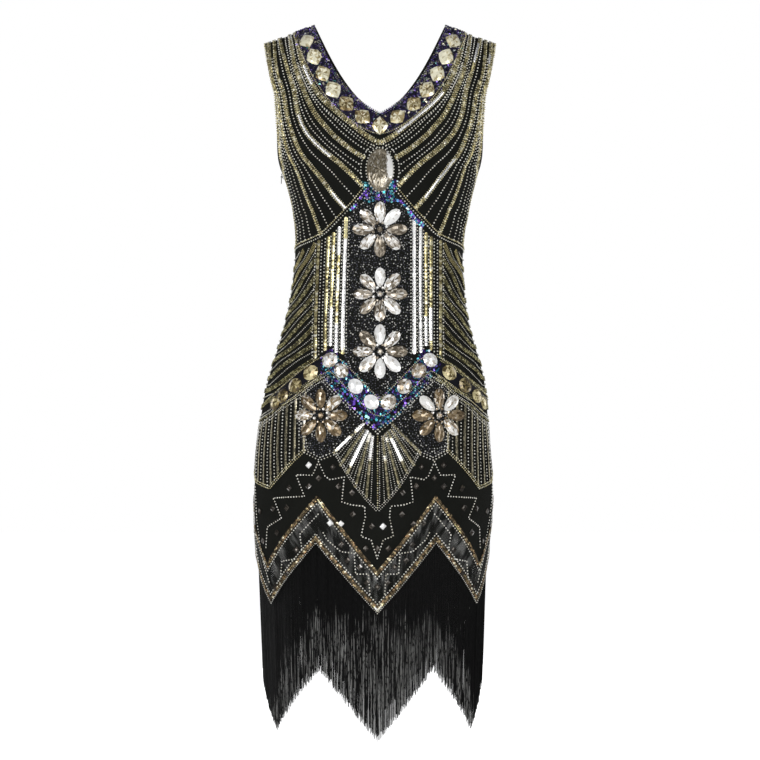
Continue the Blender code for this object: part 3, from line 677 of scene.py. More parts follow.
def makePanel(side, face):
    levels, columns, hemRows = levelRows(), panelCut["columns"], panelCut["rows"][3]
    index, outer, inner, cutMap, sheer, loops = {}, [], [], [], [], []

    def key(half, row, column):
        split = row < len(levels) and heightAt(levels[row]) > shape["neckBottom"] + 1e-6
        return (row, column * half, half if split and column == 0 else 0)

    for half in (-1, 1):
        for row in range(len(levels) + hemRows):
            run = 0.0
            for column in range(columns + 1):
                if row < len(levels):
                    height = heightAt(levels[row])
                    turn = half * mix(neckTurn(height), sideTurn(half, height), column / columns)
                else:
                    turn = half * math.pi / 2 * column / columns
                    height = mix(shape["hipLine"], hemHeight(turn), (row - len(levels) + 1) / hemRows)
                spot, out = clothPoint(face, turn, height)
                if row == 0 or abs(turn) > math.pi / 2 - 1e-6:
                    spot.y = face * panelCut["seamEdge"]
                place = key(half, row, column)
                if place not in index:
                    index[place] = len(outer)
                    outer.append(spot)
                    inner.append(spot - out * panelCut["wall"])
                    run = run + (spot - before).length if column else halfWidth(height) * math.sin(abs(turn))
                    cutMap.append((half * run, -courseAt(height)))
                    sheer.append(sheerAt(turn, height))
                before = spot
                if row and column:
                    corners = ((row, column), (row - 1, column), (row - 1, column - 1), (row, column - 1))
                    loop = [index[key(half, *corner)] for corner in corners]
                    loops.append(loop if half * face < 0 else loop[::-1])
    count, each = len(outer), len(loops)
    shell = closedShell(loops, count)
    mesh = meshFrom(f"{side}_net_and_lining", outer + inner, shell, finishes=("net", "lining"))
    mesh.polygons.foreach_set("material_index", [0] * each + [1] * each + [0] * (len(shell) - 2 * each))
    layer = mesh.uv_layers.new(name="cut")
    for corner in mesh.loops:
        layer.data[corner.index].uv = cutMap[corner.vertex_index % count]
    setValues(mesh, "sheer", sheer * 2)
    mesh.update()
    return wearOn(newObject(mesh.name, mesh), "net", f"{side}_panel")


panels = {side: makePanel(side, face) for side, face in faces.items()}
print("panels cut:", {side: len(piece.data.polygons) for side, piece in panels.items()})


# Lines of beads are lists of (turn, height)
lineWork = {
    "degree": 2.4, "step": 4.0,                   # millimetres for a degree, and from point to point
    "lifts": {"bead": 0.0011, "speck": 0.0011, "sequin": 0.0013},
}


def curved(points, steps=10):
    # a smooth line through the points
    if len(points) < 3:
        return list(points)
    line = []
    padded = [points[0], *points, points[-1]]
    for a, b, c, d in zip(padded, padded[1:], padded[2:], padded[3:]):
        for k in range(steps):
            s = k / steps
            line.append(tuple(0.5 * (2 * q + (r - p) * s + (2 * p - 5 * q + 4 * r - t) * s * s
                                     + (3 * q - p - 3 * r + t) * s ** 3)
                              for p, q, r, t in zip(a, b, c, d)))
    return line + [points[-1]]


def evenly(points, spacing, degree=lineWork["degree"]):
    # points at even steps along a line
    line = [points[0]]
    for a, b in zip(points, points[1:]):
        count = max(1, math.ceil(math.hypot((b[0] - a[0]) * degree, b[1] - a[1]) / spacing))
        line += [(mix(a[0], b[0], k / count), mix(a[1], b[1], k / count)) for k in range(1, count + 1)]
    return line


class Work:
    # the lines that one kind of bead follows on one face: chains of points with their way out and painted
    # shine
    def __init__(self, face, lift=0.0):
        self.face, self.lift = face, lift
        self.points, self.outs, self.shine, self.edges = [], [], [], []

    def addLine(self, points, aside=0.0, glows=((), ()), mirror=True, smooth=False):
        # the painted highlight parts are given for the left and for the right; aside is away from the line,
        # outwards
        points = curved(points) if smooth else points
        line = [(turn, 1000 * courseAt(min(0.0, height / 1000))) for turn, height in points]
        for half in ((1, -1) if mirror else (1,)):
            spots = []
            for turn, course in evenly(line, lineWork["step"]):
                turn = math.radians(clamped(turn, -90.0, 90.0) * half)
                spots.append(clothPoint(self.face, turn, heightAt(course / 1000), self.lift))
            self.addChain(spots, -self.face * aside * half, glows[half > 0])

    def addChain(self, spots, aside=0.0, parts=()):
        # parts have a painted highlight: start, end and how strong it is
        if len(spots) < 2:
            return
        for i, (spot, out) in enumerate(spots):
            ahead = spots[min(i + 1, len(spots) - 1)][0] - spots[max(i - 1, 0)][0]
            across = out.cross(ahead).normalized() if ahead.length > 1e-9 else Vector((0, 0, 0))
            share = i / (len(spots) - 1)
            if i:
                self.edges.append((len(self.points) - 1, len(self.points)))
            self.points.append(spot + across * aside)
            self.outs.append(out)
            # painted highlight: each point takes the strongest of the parts it lies in
            lit = ((*part, 1.0)[2] for part in parts if part[0] <= share <= part[1])
            self.shine.append(max(lit, default=0.0))

    def mesh(self, name):
        mesh = meshFrom(name, self.points, [], edges=self.edges)
        out = mesh.attributes.new("outward", "FLOAT_VECTOR", "POINT")
        out.data.foreach_set("vector", [c for v in self.outs for c in v])
        setValues(mesh, "shine", self.shine)
        return mesh


def geometryTree(name, numbers):
    # the start of a tree whose inputs are the numbers and a finish
    inputs = {"Geometry": "Geometry"} | numbers | {"Finish": "Material"}
    return groupOf("GeometryNodeTree", name, inputs, {"Geometry": "Geometry"})[0]


def finishTree(start, geometry, smooth):
    # makes one plain mesh of it, with its finish
    tree = start.id_data
    real = outputOf(tree, "GeometryNodeRealizeInstances", {"Geometry": geometry})
    shaded = outputOf(tree, "GeometryNodeSetShadeSmooth", {"Geometry": real, "Shade Smooth": smooth})
    dressed = {"Geometry": shaded, "Material": Field(start, "Finish")}
    setInputs(tree.nodes["Group Output"], {"Geometry": outputOf(tree, "GeometryNodeSetMaterial", dressed)})
    return tree


def named(tree, label, kind="FLOAT"):
    return outputOf(tree, "GeometryNodeInputNamedAttribute", {"Name": label}, data_type=kind)


def stored(geometry, label, value, kind="FLOAT", domain="INSTANCE"):
    inputs = {"Geometry": geometry, "Name": label, "Value": value}
    return outputOf(geometry.node.id_data, "GeometryNodeStoreNamedAttribute", inputs, data_type=kind,
                    domain=domain)


def randomValue(low, high, seed, offset, kind="FLOAT"):
    made = addNode(seed.node.id_data, "FunctionNodeRandomValue", {"Seed": seed + offset}, data_type=kind)
    ends = [i for i, socket in enumerate(made.inputs) if socket.enabled and socket.name in ("Min", "Max")]
    setInputs(made, dict(zip(ends, (low, high))))
    return Field(made, next(i for i, socket in enumerate(made.outputs) if socket.enabled))


# beads of size 1, lying along X
beadShapes = {
    "bead": ("GeometryNodeMeshIcoSphere", {"Radius": 0.5, "Subdivisions": 1}),
    "speck": ("GeometryNodeMeshUVSphere", {"Segments": 4, "Rings": 3, "Radius": 0.5}),
    "sequin": ("GeometryNodeMeshCone", {"Vertices": 8, "Radius Top": 0.0, "Radius Bottom": 0.5,
                                        "Depth": 0.5}),
}
beadNumbers = {
    "Spacing": 0.003, "Along": 0.002, "Across": 0.002, "Height": 0.002,
    "Lean": 0.0, "Wobble": 0.2, "Uneven": 0.12, "Seed": 1,
}


def standBeads(start, kind, points, tangent, outward):
    # stands a bead on each point, turned along the line and out of the cloth
    tree, seed, sway, uneven = start.id_data, *(Field(start, label) for label in ("Seed", "Wobble", "Uneven"))
    along = outputOf(tree, "FunctionNodeAlignRotationToVector", {"Vector": tangent}, axis="X")
    up = outputOf(tree, "FunctionNodeAlignRotationToVector", {"Rotation": along, "Vector": outward},
                  axis="Z", pivot_axis="X")
    roll, pitch, yaw = (randomValue(sway * -1.0, sway, seed, i) for i in (1, 2, 3))
    # beads with a painted shine also lie without lean or wobble, so that they mirror the lamps
    dull = 1.0 - named(tree, "shine")
    angles = {"X": dull * roll, "Y": dull * (Field(start, "Lean") + pitch), "Z": yaw}
    angles = outputOf(tree, "ShaderNodeCombineXYZ", angles)
    wobble = outputOf(tree, "FunctionNodeEulerToRotation", {0: angles})
    turned = outputOf(tree, "FunctionNodeRotateRotation", {"Rotation": up, "Rotate By": wobble},
                      rotation_space="LOCAL")
    sizes = {axis: Field(start, label) for axis, label in zip("XYZ", ("Along", "Across", "Height"))}
    size = vectors("SCALE", outputOf(tree, "ShaderNodeCombineXYZ", sizes),
                   Scale=randomValue(1.0 - uneven, uneven + 1.0, seed, 4))
    shape, numbers = beadShapes[kind]
    stand = {"Points": points, "Instance": outputOf(tree, shape, numbers), "Rotation": turned, "Scale": size}
    beads = outputOf(tree, "GeometryNodeInstanceOnPoints", stand)
    return finishTree(start, stored(beads, "tone", randomValue(0.0, 1.0, seed, 5)), kind != "sequin")


def beadLineTree(kind):
    # beads threaded at even steps along lines
    start = geometryTree(f"{kind} on lines", beadNumbers)
    tree = start.id_data
    lines = outputOf(tree, "GeometryNodeMeshToCurve", {"Mesh": Field(start, "Geometry")})
    even = {"Curve": lines, "Length": Field(start, "Spacing")}
    points = outputOf(tree, "GeometryNodeResampleCurve", even, mode="LENGTH")
    tangent = outputOf(tree, "GeometryNodeInputTangent")
    return standBeads(start, kind, points, tangent, named(tree, "outward", "FLOAT_VECTOR"))


def beadPatchTree(kind):
    # beads strewn over a patch of the cloth, no two closer than the spacing
    start = geometryTree(f"{kind} over a patch", beadNumbers)
    strewn = {"Mesh": Field(start, "Geometry"), "Distance Min": Field(start, "Spacing"),
              "Density Max": 400000.0, "Seed": Field(start, "Seed")}
    spread = addNode(start.id_data, "GeometryNodeDistributePointsOnFaces", strewn,
                     distribute_method="POISSON")
    tangent = randomValue((-1.0, -1.0, -1.0), (1.0, 1.0, 1.0), Field(start, "Seed"), 9, "FLOAT_VECTOR")
    return standBeads(start, kind, Field(spread, "Points"), tangent, Field(spread, "Normal"))


lineTrees = {kind: beadLineTree(kind) for kind in beadShapes}
patchTrees = {kind: beadPatchTree(kind) for kind in ("speck", "sequin")}


def runTree(source, tree, values, label, name):
    # sets the modifier's inputs before anything is evaluated, and keeps the result as a plain mesh
    change = source.modifiers.new("grow", "NODES")
    change.node_group = tree
    values = values | {"Finish": finish[label]}
    for socket in tree.interface.items_tree:
        if socket.in_out == "INPUT" and socket.name in values:
            change[socket.identifier] = values[socket.name]
    depsgraph = bpy.context.evaluated_depsgraph_get()
    mesh = bpy.data.meshes.new_from_object(source.evaluated_get(depsgraph), depsgraph=depsgraph)
    source.modifiers.remove(change)
    bpy.data.objects.remove(source)
    mesh.name = name
    if not mesh.materials:
        mesh.materials.append(finish[label])
    return newObject(name, mesh)


def growBeads(name, source, trees, size, face=0):
    # size is a shape, a finish and the tree's numbers, whose seed differs by the face where one is given
    shape, label, *numbers = size
    values = dict(zip(beadNumbers, numbers))
    values["Seed"] += face
    return wearOn(runTree(source, trees[shape], values, label, name), "beads")


def threadBeads(name, work, size):
    return growBeads(name, newObject(name + "_lines", work.mesh(name + "_lines")), lineTrees, size)


# The design of the beadwork is the same on the front and the back.

# The rows that fan from a strap to the middle, as key rows that the others lie between
strapRows = (
    ((38.4, -0.03), (37.4, -7), (35.3, -38), (33.1, -66), (30.3, -92), (25.4, -114), (15.7, -142),
     (6.2, -167), (0.0, -177)),
    ((42.6, -0.03), (42.1, -10), (40.6, -44), (39.2, -77), (37.6, -103), (35.6, -124), (33.0, -144),
     (30.0, -158), (26.4, -174), (18.4, -196), (12.0, -209)),
    ((47.0, -0.03), (46.6, -8), (44.9, -28), (42.8, -56), (41.2, -89), (40.0, -133), (37.4, -160),
     (32.8, -180), (27.9, -195), (19.8, -217), (11.4, -239)),
    ((51.0, -0.03), (50.4, -9), (49.3, -48), (48.1, -85), (47.2, -119), (46.6, -152), (45.9, -176),
     (44.6, -198), (41.6, -214), (37.0, -230), (30.7, -251), (23.1, -270)),
    ((54.4, -0.03), (53.9, -17), (52.6, -65), (52.1, -102), (52.2, -138), (54.0, -169), (57.2, -202),
     (56.8, -230), (53.6, -256), (47.9, -284), (43.4, -306)),
    ((57.2, -0.03), (56.0, -17), (53.2, -60), (53.0, -102), (54.4, -140), (59.0, -172), (69.0, -200),
     (84.0, -222), (84.0, -250), (82.0, -280), (78.0, -318)),
)
# where each row lies, its kind, how far down it starts, and its parts with a painted highlight on the left
# and right
strapWork = (
    (0.00, "border", 0.0, ((0.36, 0.50),), ((0.55, 0.90),)), (0.30, "dots", 0.0, (), ()),
    (0.45, "dots", 0.3, (), ()), (0.72, "sequins", 0.0, ((0.05, 0.12),), ()), (1.00, "dots", 0.0, (), ()),
    (1.42, "dots", 0.06, (), ()), (2.00, "sequins", 0.0, ((0.56, 0.80),), ((0.10, 0.24),)),
    (2.48, "dots", 0.0, (), ()), (3.00, "sequins", 0.0, ((0.90, 1.0),), ((0.72, 0.93),)),
    (3.34, "dots", 0.14, (), ()), (3.66, "dots", 0.12, (), ()),
    (3.98, "sequins", 0.0, ((0.0, 0.05),), ((0.14, 0.20),)), (4.26, "dots", 0.30, (), ()),
    (4.46, "dots", 0.38, (), ()), (4.64, "dots", 0.30, (), ()), (4.82, "dots", 0.50, (), ()),
    (4.98, "sequins", 0.0, (), ()),
)
archLine = ((9.0, -243), (18.4, -266), (29.8, -288), (40.0, -304), (52.3, -313), (76, -321), (90, -326))
# The upright rows beside the middle: mm across, top and bottom height, and the parts with a painted highlight
# on the left and on the right, where a place and a strength of 0.5 paints yellow and 1 silver white; the
# others are rows of dots
columnWork = (
    (43.4, -283, -474), (47.9, -285, -473, ((0.0, 0.12, 0.3), (0.14, 0.97, 1.0)), ((0.0, 1.0, 1.0),)),
    (52.2, -288, -473),
    (56.8, -298, -471, ((0.0, 0.22, 1.0), (0.38, 0.5, 0.8), (0.76, 1.0, 1.0)), ((0.0, 1.0, 1.0),)),
    (61.0, -301, -468), (64.8, -306, -462, ((0.36, 0.48, 0.5), (0.66, 1.0, 1.0)), ((0.74, 1.0, 1.0),)),
    (68.4, -309, -463), (71.9, -311, -468, ((0.08, 0.26, 0.5), (0.50, 0.66, 0.5)), ((0.62, 0.94, 1.0),)),
    (76.2, -312, -472), (80.8, -314, -476),
    (85.2, -316, -479, ((0.84, 0.90, 0.5),), ((0.58, 0.66, 0.5),)), (89.4, -318, -482),
)
# The slanting rows at the side of the waist
# a faint painted highlight along the first part of some slanting rows
paintedGlintEnds = ((0.0, 0.7, 0.35),), ((0.0, 0.6, 0.35),)
slantWork = {
    "from": (-268, -508), "rows": 21,   # the first and last height where they start, and how many
    "startTurn": ((-319, 48.5), (-398, 44.6), (-478, 38.4), (-500, 32.5)),
    "drop": ((-268, -62), (-320, -60), (-398, -56), (-441, -52), (-508, -42)),
    "wave": (2.3, 7, 1.1), "waveChange": (0.4, 2.3), "steps": 24,
    "clear": 8,                         # millimetres from the arch
    "glows": {0: paintedGlintEnds, 2: paintedGlintEnds, 4: paintedGlintEnds, 10: (((0.24, 0.34, 0.9),), ())},
}
armLine = ((30.2, -493), (38.5, -506), (46.6, -523), (58.4, -539), (66.6, -552), (76.0, -560), (90.0, -568))
armBelow = ((31.0, -508), (38.5, -520), (46.6, -536), (58.4, -549), (66.6, -559), (76.0, -565), (90.0, -570))
fanEdge = ((20.0, -612), (13.2, -645), (6.1, -673), (0.0, -693))
# the fan's rays from the outermost to the middle line: both ends seen from the front, and the parts with a
# painted highlight
fanRays = (
    ((17.5, -574), (56.0, -614), ((0.0, 0.26, 0.9), (0.40, 0.92, 0.9)), ()),
    ((15.8, -581), (47.3, -631), (), ()),
    ((11.2, -584), (38.0, -642), ((0.0, 0.84, 1.0),), ((0.18, 0.70, 1.0),)),
    ((7.6, -588), (27.2, -661), ((0.0, 0.14, 0.8),), ((0.06, 0.14, 0.9),)),
    ((3.9, -592), (12.6, -677), ((0.0, 0.36, 0.95),), ((0.32, 0.38, 0.9),)),
    ((0.0, -590), (0.0, -690), (), ()),
)
# short bright lines beside the arch: the half, how many side by side, and where
archBright = (
    (-1, 1, ((10.1, -246), (13.4, -255))), (-1, 1, ((16.4, -264), (20.0, -271))),
    (1, 1, ((13.7, -259), (19.0, -270))), (1, 2, ((20.3, -273), (24.5, -283), (30.2, -291))),
)
# the rows along the two zigzags of the hem: the kind, the height over the zigzag, and the parts with a
# painted highlight
zigzagWork = (
    (upperZigzag, (("bronze", 0, ((0.30, 0.33, 0.7),), ((0.46, 0.50, 0.3),)), ("bronze", 3.6, (), ()),
                   ("dash", -5.6, (), ()))),
    (tuple((turn, height * 1000) for turn, height in shape["hem"]),
     (("bronze", 5, ((0.0, 0.02, 1.0),), ((0.0, 0.03, 0.8),)), ("bronze", 8.6, (), ()),
      ("dash", 13.6, (), ()), ("fine", 0.6, (), ()))),
)
# the rays of a side fan: how many, the turns of their tops, how upright they are, and their parts with a
# painted highlight; plain is a faint painted highlight all along each smoky ray
sideFan = {
    "rays": 17, "top": (40, 90), "upright": 0.6, "clear": 7, "steps": (0.0, 0.5, 0.96),
    "plain": (0.0, 1.0, 0.12),
    "glows": {0: (((0.40, 0.55, 0.9),), ((0.3, 0.4, 0.5),)), 2: (((0.0, 0.1, 0.45),), ())},
}
sideFanEdge = ((36.0, -612), (47.0, -639), (60.0, -667), (75.0, -660), (90.0, -646))
smallPoint = ((36.0, -611), (28.0, -621), (20.0, -612))
stepLines = (
    ((28.6, -627), (31.5, -646), (40.7, -646), (35.7, -676), (56.6, -680), (49.9, -708), (61.5, -722),
     (63.0, -751)),
    ((28.6, -627), (25.2, -647), (22.6, -652), (15.6, -648), (16.8, -683), (12.2, -687), (6.0, -689),
     (5.6, -704), (7.5, -731), (2.8, -736), (0.0, -762)),
    ((26.0, -727), (24.3, -736), (17.2, -753), (10.7, -755), (10.1, -784), (4.1, -784), (3.5, -812)),
    ((28.6, -701), (38.6, -730), (37.1, -763), (49.9, -769), (51.9, -800)),
    ((77.0, -666), (74.0, -713), (67.0, -769), (61.0, -800)), ((83.5, -664), (81.0, -716), (74.0, -776)),
)
# turn and height of the square sequins, and the half where one is painted white as a highlight
diamondPlaces = (
    (33.8, -632, -1), (21.4, -634), (28.4, -650), (33.4, -662), (18.4, -661), (44.6, -665), (11.8, -670),
    (11.4, -700), (57.0, -695), (46.2, -693), (53.6, -729), (5.3, -748), (0.0, -748), (22.4, -713, -1),
    (17.2, -714, -1), (2.6, -717, 1), (17.0, -743), (14.0, -765), (8.2, -774), (4.8, -796), (0.0, -802),
    (40.8, -752), (47.0, -786), (56.0, -806), (66.0, -742), (70.0, -700), (84.0, -730),
)


def betweenRows(place, spacing=3.0, count=40):
    # the row at a place between two key rows
    low = min(int(place), len(strapRows) - 2)
    lines = [evenly(curved(row), spacing) for row in strapRows[low:low + 2]]
    ends = zip(*([line[round(k * (len(line) - 1) / count)] for k in range(count + 1)] for line in lines))
    return [(mix(a[0], b[0], place - low), mix(a[1], b[1], place - low)) for a, b in ends]


def planLine(start, end, step=6):
    # a straight line seen from the front, as (turn, height)
    count = max(1, round(math.dist(start, end) / step))
    places = [fromPlan(*(mix(a, b, i / count) for a, b in zip(start, end))) for i in range(count + 1)]
    return [(math.degrees(turn), level * 1000) for turn, level in places]


def slantRow(i):
    # one slanting row, as far up as the arch
    first, last = slantWork["from"]
    height = mix(first, last, i / (slantWork["rows"] - 1))
    turn, drop = (alongPoints(slantWork[key], height) for key in ("startTurn", "drop"))
    (size, waves, phase), (more, cycle) = slantWork["wave"], slantWork["waveChange"]
    row, begin, steps = [], math.sin(math.radians(turn)), slantWork["steps"]
    for k in range(steps + 1):
        s = k / steps
        here = mix(turn, 90, s)
        along = (math.sin(math.radians(here)) - begin) / (1 - begin)
        wave = size * math.sin(waves * s + phase * i) * (1 + more * math.sin(cycle * i))
        row.append((here, height + drop * along + wave))
    arch = ((0.0, -230), *archLine)
    return [(t, h) for t, h in row if h < alongPoints(arch, t) - slantWork["clear"]]


def designBeadwork(face):
    work = {kind: Work(face, lineWork["lifts"][size[0]]) for kind, size in beadSizes.items()}

    def sew(kind, points, *asides, **more):
        # one row for each distance aside from the line, in metres
        for aside in asides or (0.0,):
            work[kind].addLine(points, aside, **more)

    for place, kind, start, *glows in strapWork:
        row = betweenRows(place)
        row = row[round(start * (len(row) - 1)):]
        if kind == "dots":
            sew("cream", row)
        elif kind == "border":
            sew("gold", row, -0.0018, 0.0042)
            sew("sequin", row, 0.0012, glows=glows)
            sew("cream", row, 0.0090)
        else:
            sew("sequin", row, glows=glows)
            sew("gold", row, 0.0027)
            sew("gold", row[12:], -0.0027)   # the inner one starts lower down

    # the arch under the bust
    sew("cream", archLine, -0.0012, smooth=True)
    sew("gold", archLine, 0.0030, smooth=True)
    for half, count, part in archBright:
        asides = (aside * half for aside in (-0.0026, -0.0054)[:count])
        sew("peacock", [(turn * half, height) for turn, height in part], *asides, mirror=False)

    # upright rows, and slanting ones at the sides of the waist
    for across, top, bottom, *glows in columnWork:
        line = planLine((across, top), (across, bottom))
        # these are large gold sequins, painted silver or yellow where they have a painted highlight
        if glows:
            sew("paintedSilver", line, glows=glows)
        else:
            sew("cream", line)
    for i in range(slantWork["rows"]):
        row = slantRow(i)
        if len(row) < 4:
            continue
        if i % 2:
            sew("fine", row)
        else:
            sew("olive", row, -0.0024, 0.0, 0.0024, glows=slantWork["glows"].get(i, ((), ())))

    # beads above and below the arms of the hip band
    for aside in (0.0, 0.0040):
        sew("fine", armLine, -0.0132 - aside, smooth=True)
        sew("fine", armBelow, aside, smooth=True)
    sew("olive", armBelow, -0.0024, smooth=True)
    sew("cream", ((0.0, -588), (8.3, -568), (19.4, -540), (29.5, -516)), 0.0010, 0.0046)

    # the fan in the middle
    sew("fine", fanEdge, 0.0, 0.0030, smooth=True)
    for ray, following in zip(fanRays, fanRays[1:]):
        sew("smoky", planLine(*ray[:2]), glows=ray[2:])
        for place in (0.34, 0.66) if following[0][0] else (0.5,):
            ends = (tuple(mix(a, b, place) for a, b in zip(ray[k], following[k])) for k in (0, 1))
            sew("fine", planLine(*ends))
    sew("gold", ((0.0, -591), (0.0, -691)), mirror=False)
    sew("fine", ((0.0, -600), (0.0, -688)), 0.0028, mirror=False)

    # the fans at the sides
    edge, count = evenly(sideFanEdge, 0.5), sideFan["rays"]
    sew("gold", sideFanEdge, 0.0, 0.0034)
    for i in range(count):
        share = (i + 0.3) / count
        turn, height = edge[round(share * (len(edge) - 1))]
        topTurn = mix(turn, mix(*sideFan["top"], share), sideFan["upright"])
        top = alongPoints(armBelow, topTurn) - sideFan["clear"]
        ray = [(mix(topTurn, turn, s), mix(top, height, s)) for s in sideFan["steps"]]
        if i % 2:
            sew("cream", ray)
        else:
            plain = (sideFan["plain"],)
            sew("smoky", ray, glows=[plain + more for more in sideFan["glows"].get(i, ((), ()))])
    for aside in (0.0, 0.0038):
        sew("cream", smallPoint, aside)
        sew("cream", ((36.0, -611), (40.5, -566), (39.5, -540)), aside)

    # stepped rows, and the two zigzags round the hem
    for line in stepLines:
        sew("dash", line)
    for zigzag, rows in zigzagWork:
        for kind, up, *glows in rows:
            sew(kind, [(turn, height + up) for turn, height in zigzag], glows=glows)
    return work


# each kind's shape and finish, then its spacing, length, width, height, lean, wobble, unevenness and seed
beadSizes = {
    "cream": ("bead", "cream beads", 0.0046, 0.0023, 0.0022, 0.0020, 0.0, 0.30, 0.12, 11),
    "dash": ("bead", "cream beads", 0.0043, 0.0026, 0.0023, 0.0014, 0.0, 0.12, 0.12, 17),
    "fine": ("speck", "cream beads", 0.0031, 0.0019, 0.0017, 0.0015, 0.0, 0.20, 0.12, 19),
    "gold": ("bead", "gold beads", 0.0034, 0.0023, 0.0023, 0.0020, 0.0, 0.30, 0.12, 23),
    "olive": ("speck", "olive beads", 0.0023, 0.0024, 0.0024, 0.0019, 0.0, 0.20, 0.12, 29),
    "sequin": ("sequin", "gold sequins", 0.0023, 0.0040, 0.0039, 0.0009, -0.20, 0.12, 0.12, 37),
    "bronze": ("sequin", "bronze sequins", 0.0024, 0.0037, 0.0034, 0.0009, -0.20, 0.22, 0.12, 39),
    "smoky": ("sequin", "smoky sequins", 0.0024, 0.0044, 0.0044, 0.0008, -0.16, 0.08, 0.12, 43),
    "paintedSilver": ("sequin", "gold sequins", 0.0026, 0.0058, 0.0056, 0.0008, -0.16, 0.08, 0.12, 41),
    "peacock": ("sequin", "peacock sequins", 0.0026, 0.0040, 0.0040, 0.0012, -0.20, 0.40, 0.12, 67),
}
ringBeads = ("speck", "gold beads", 0.0029, 0.0022, 0.0022, 0.0019, 0.0, 0.4, 0.12, 131)
pieces = {"front": [], "back": []}
for side, face in faces.items():
    for label, work in designBeadwork(face).items():
        piece = threadBeads(f"{side}_{label}_rows", work, beadSizes[label])
        pieces[side].append(piece)
        print("threaded", piece.name, len(piece.data.polygons))


def tonedPiece(name, points, loops, tones, label, slotName, *nodes):
    # flat facets, each with its own tone
    mesh = meshFrom(name, points, loops, False, finishes=(label,))
    setValues(mesh, "tone", tones, "FACE")
    mesh.update()
    return wearOn(newObject(name, mesh), slotName, *nodes)


def cutStone(outline, rise, table, girdle, crown, crownHeight=0.78):
    # a cut stone on a plane outline: its points and its faces
    count = len(outline)
    levels = ((1.0, 0.0), (1.0, girdle * rise), (crown, crownHeight * rise), (table, rise))
    points = [Vector((x * share, y * share, z)) for share, z in levels for x, y in outline]
    loops = [tuple(range(count))[::-1]]
    for level in range(3):
        for i in range(count):
            a, b = level * count + i, level * count + (i + 1) % count
            if level == 0:
                loops.append((a, b, b + count, a + count))
            elif (i + level) % 2:
                loops += [(a, b, b + count), (a, b + count, a + count)]
            else:
                loops += [(a, b, a + count), (b, b + count, a + count)]
    loops.append(tuple(range(3 * count, 4 * count)))
    return points, loops


def roundOutline(length, width, sides, square=2.0, taper=0.0):
    # an oval outline: squarer where square is over 2, pointed where it is under 2, narrower at its start
    # by taper
    line = []
    for i in range(sides):
        a = 2 * math.pi * (i + (0.5 if square >= 2 else 0.0)) / sides
        x, y = math.cos(a), math.sin(a)
        grow = (abs(x) ** square + abs(y) ** square) ** (-1 / square)
        x, y = x * grow, y * grow
        line.append((x * length / 2, y * width / 2 * (1 - taper * (1 - x) / 2)))
    return line


class Stones:
    # gathers stones into one mesh; a stone's facets differ in tone around one of the bases, a painted
    # reflection
    def __init__(self, seed, bases=(0.10, 0.30, 0.50, 0.75, 1.10)):
        self.chance, self.bases = random.Random(seed), bases
        self.points, self.loops, self.tones = [], [], []

    def uneven(self, most):
        return Vector([self.chance.uniform(-most, most) for _ in range(3)])

    def add(self, outline, rise, spot, along, out, lift, cut=(0.45, 0.35, 0.74), ring=None, paintedHighlightLift=0.0):
        points, loops = cutStone(outline, rise, *cut)
        along = (along - out * along.dot(out)).normalized()
        place = Matrix((along, out.cross(along), out)).transposed()
        start = len(self.points)
        self.points += [spot + out * lift + place @ p for p in points]
        # a painted highlight lift paints the whole stone lighter
        base = self.chance.choice(self.bases) + paintedHighlightLift
        for loop in loops:
            self.loops.append([start + i for i in loop])
            facet = self.chance.uniform(-stoneSizes["facets"], stoneSizes["facets"])
            self.tones.append(clamped(base + facet))
        if ring:
            # beads sewn round the stone
            foot, line = spot + out * stoneSizes["ringUp"], [*outline, outline[0]]
            ring.addChain([(foot + place @ Vector((x, y, 0)), out) for x, y in line], stoneSizes["ringOut"])

    def make(self, name, label, slotName, *nodes):
        return tonedPiece(name, self.points, self.loops, self.tones, label, slotName, *nodes)


# Stones: length, width, rise, sides, squareness and taper, and the cut as table, girdle and crown
stoneSizes = {
    "petal": {"outline": (0.0300, 0.0192, 12, 1.85, 0.30), "rise": 0.0034, "cut": (0.20, 0.30, 0.66)},
    "neck": {"outline": (0.0270, 0.0230, 12, 1.3), "rise": 0.0038, "cut": (0.18, 0.30, 0.64)},
    "hip": {"outline": (0.0238, 0.0205, 12, 1.8), "rise": 0.0036, "cut": (0.18, 0.30, 0.64)},
    "lift": 0.0010, "bandLift": 0.0018, "facets": 0.5, "ringUp": 0.0011, "ringOut": 0.0011,
}
flowers = {
    "places": ((0, -300), (0, -391), (0, -472), (-83, -562), (83, -562)), "petals": 8, "petalStart": 0.0088,
    "grow": (0.93, 1.04), "tip": 0.10, "middle": 3,   # how many are on the middle line
    "button": (0.0088, 0.0088, 8), "buttonRise": 0.0042,
    "small": (0.0046, 0.0046, 6), "smallRise": 0.0028, "smallLift": 0.0008, "smallRound": 0.0098,
    "sideBases": (0.05, 0.20, 0.38, 0.56, 1.00),
}
neckStonePlaces = ((0, -154.0), (24.5, -141.0), (47.5, -122.0), (66.0, -101.0), (81.0, -77.0), (93.5, -52.0),
                   (104.0, -28.0))
neckBandEnd = (110.0, -13.5)
hipStonePlaces = ((12, -543), (34, -521), (54, -499), (70, -484), (97, -502), (119, -520), (137, -535),
                  (148, -545))
hipTip, hipBandEnd = (0, -556), (152.5, -549)


def around(centre, radius, turn):
    # a place round a centre, at a radius in metres
    return centre[0] + 1000 * radius * math.cos(turn), centre[1] + 1000 * radius * math.sin(turn)


def grown(outline, share):
    length, width, *others = outline
    return roundOutline(length * share, width * share, *others)


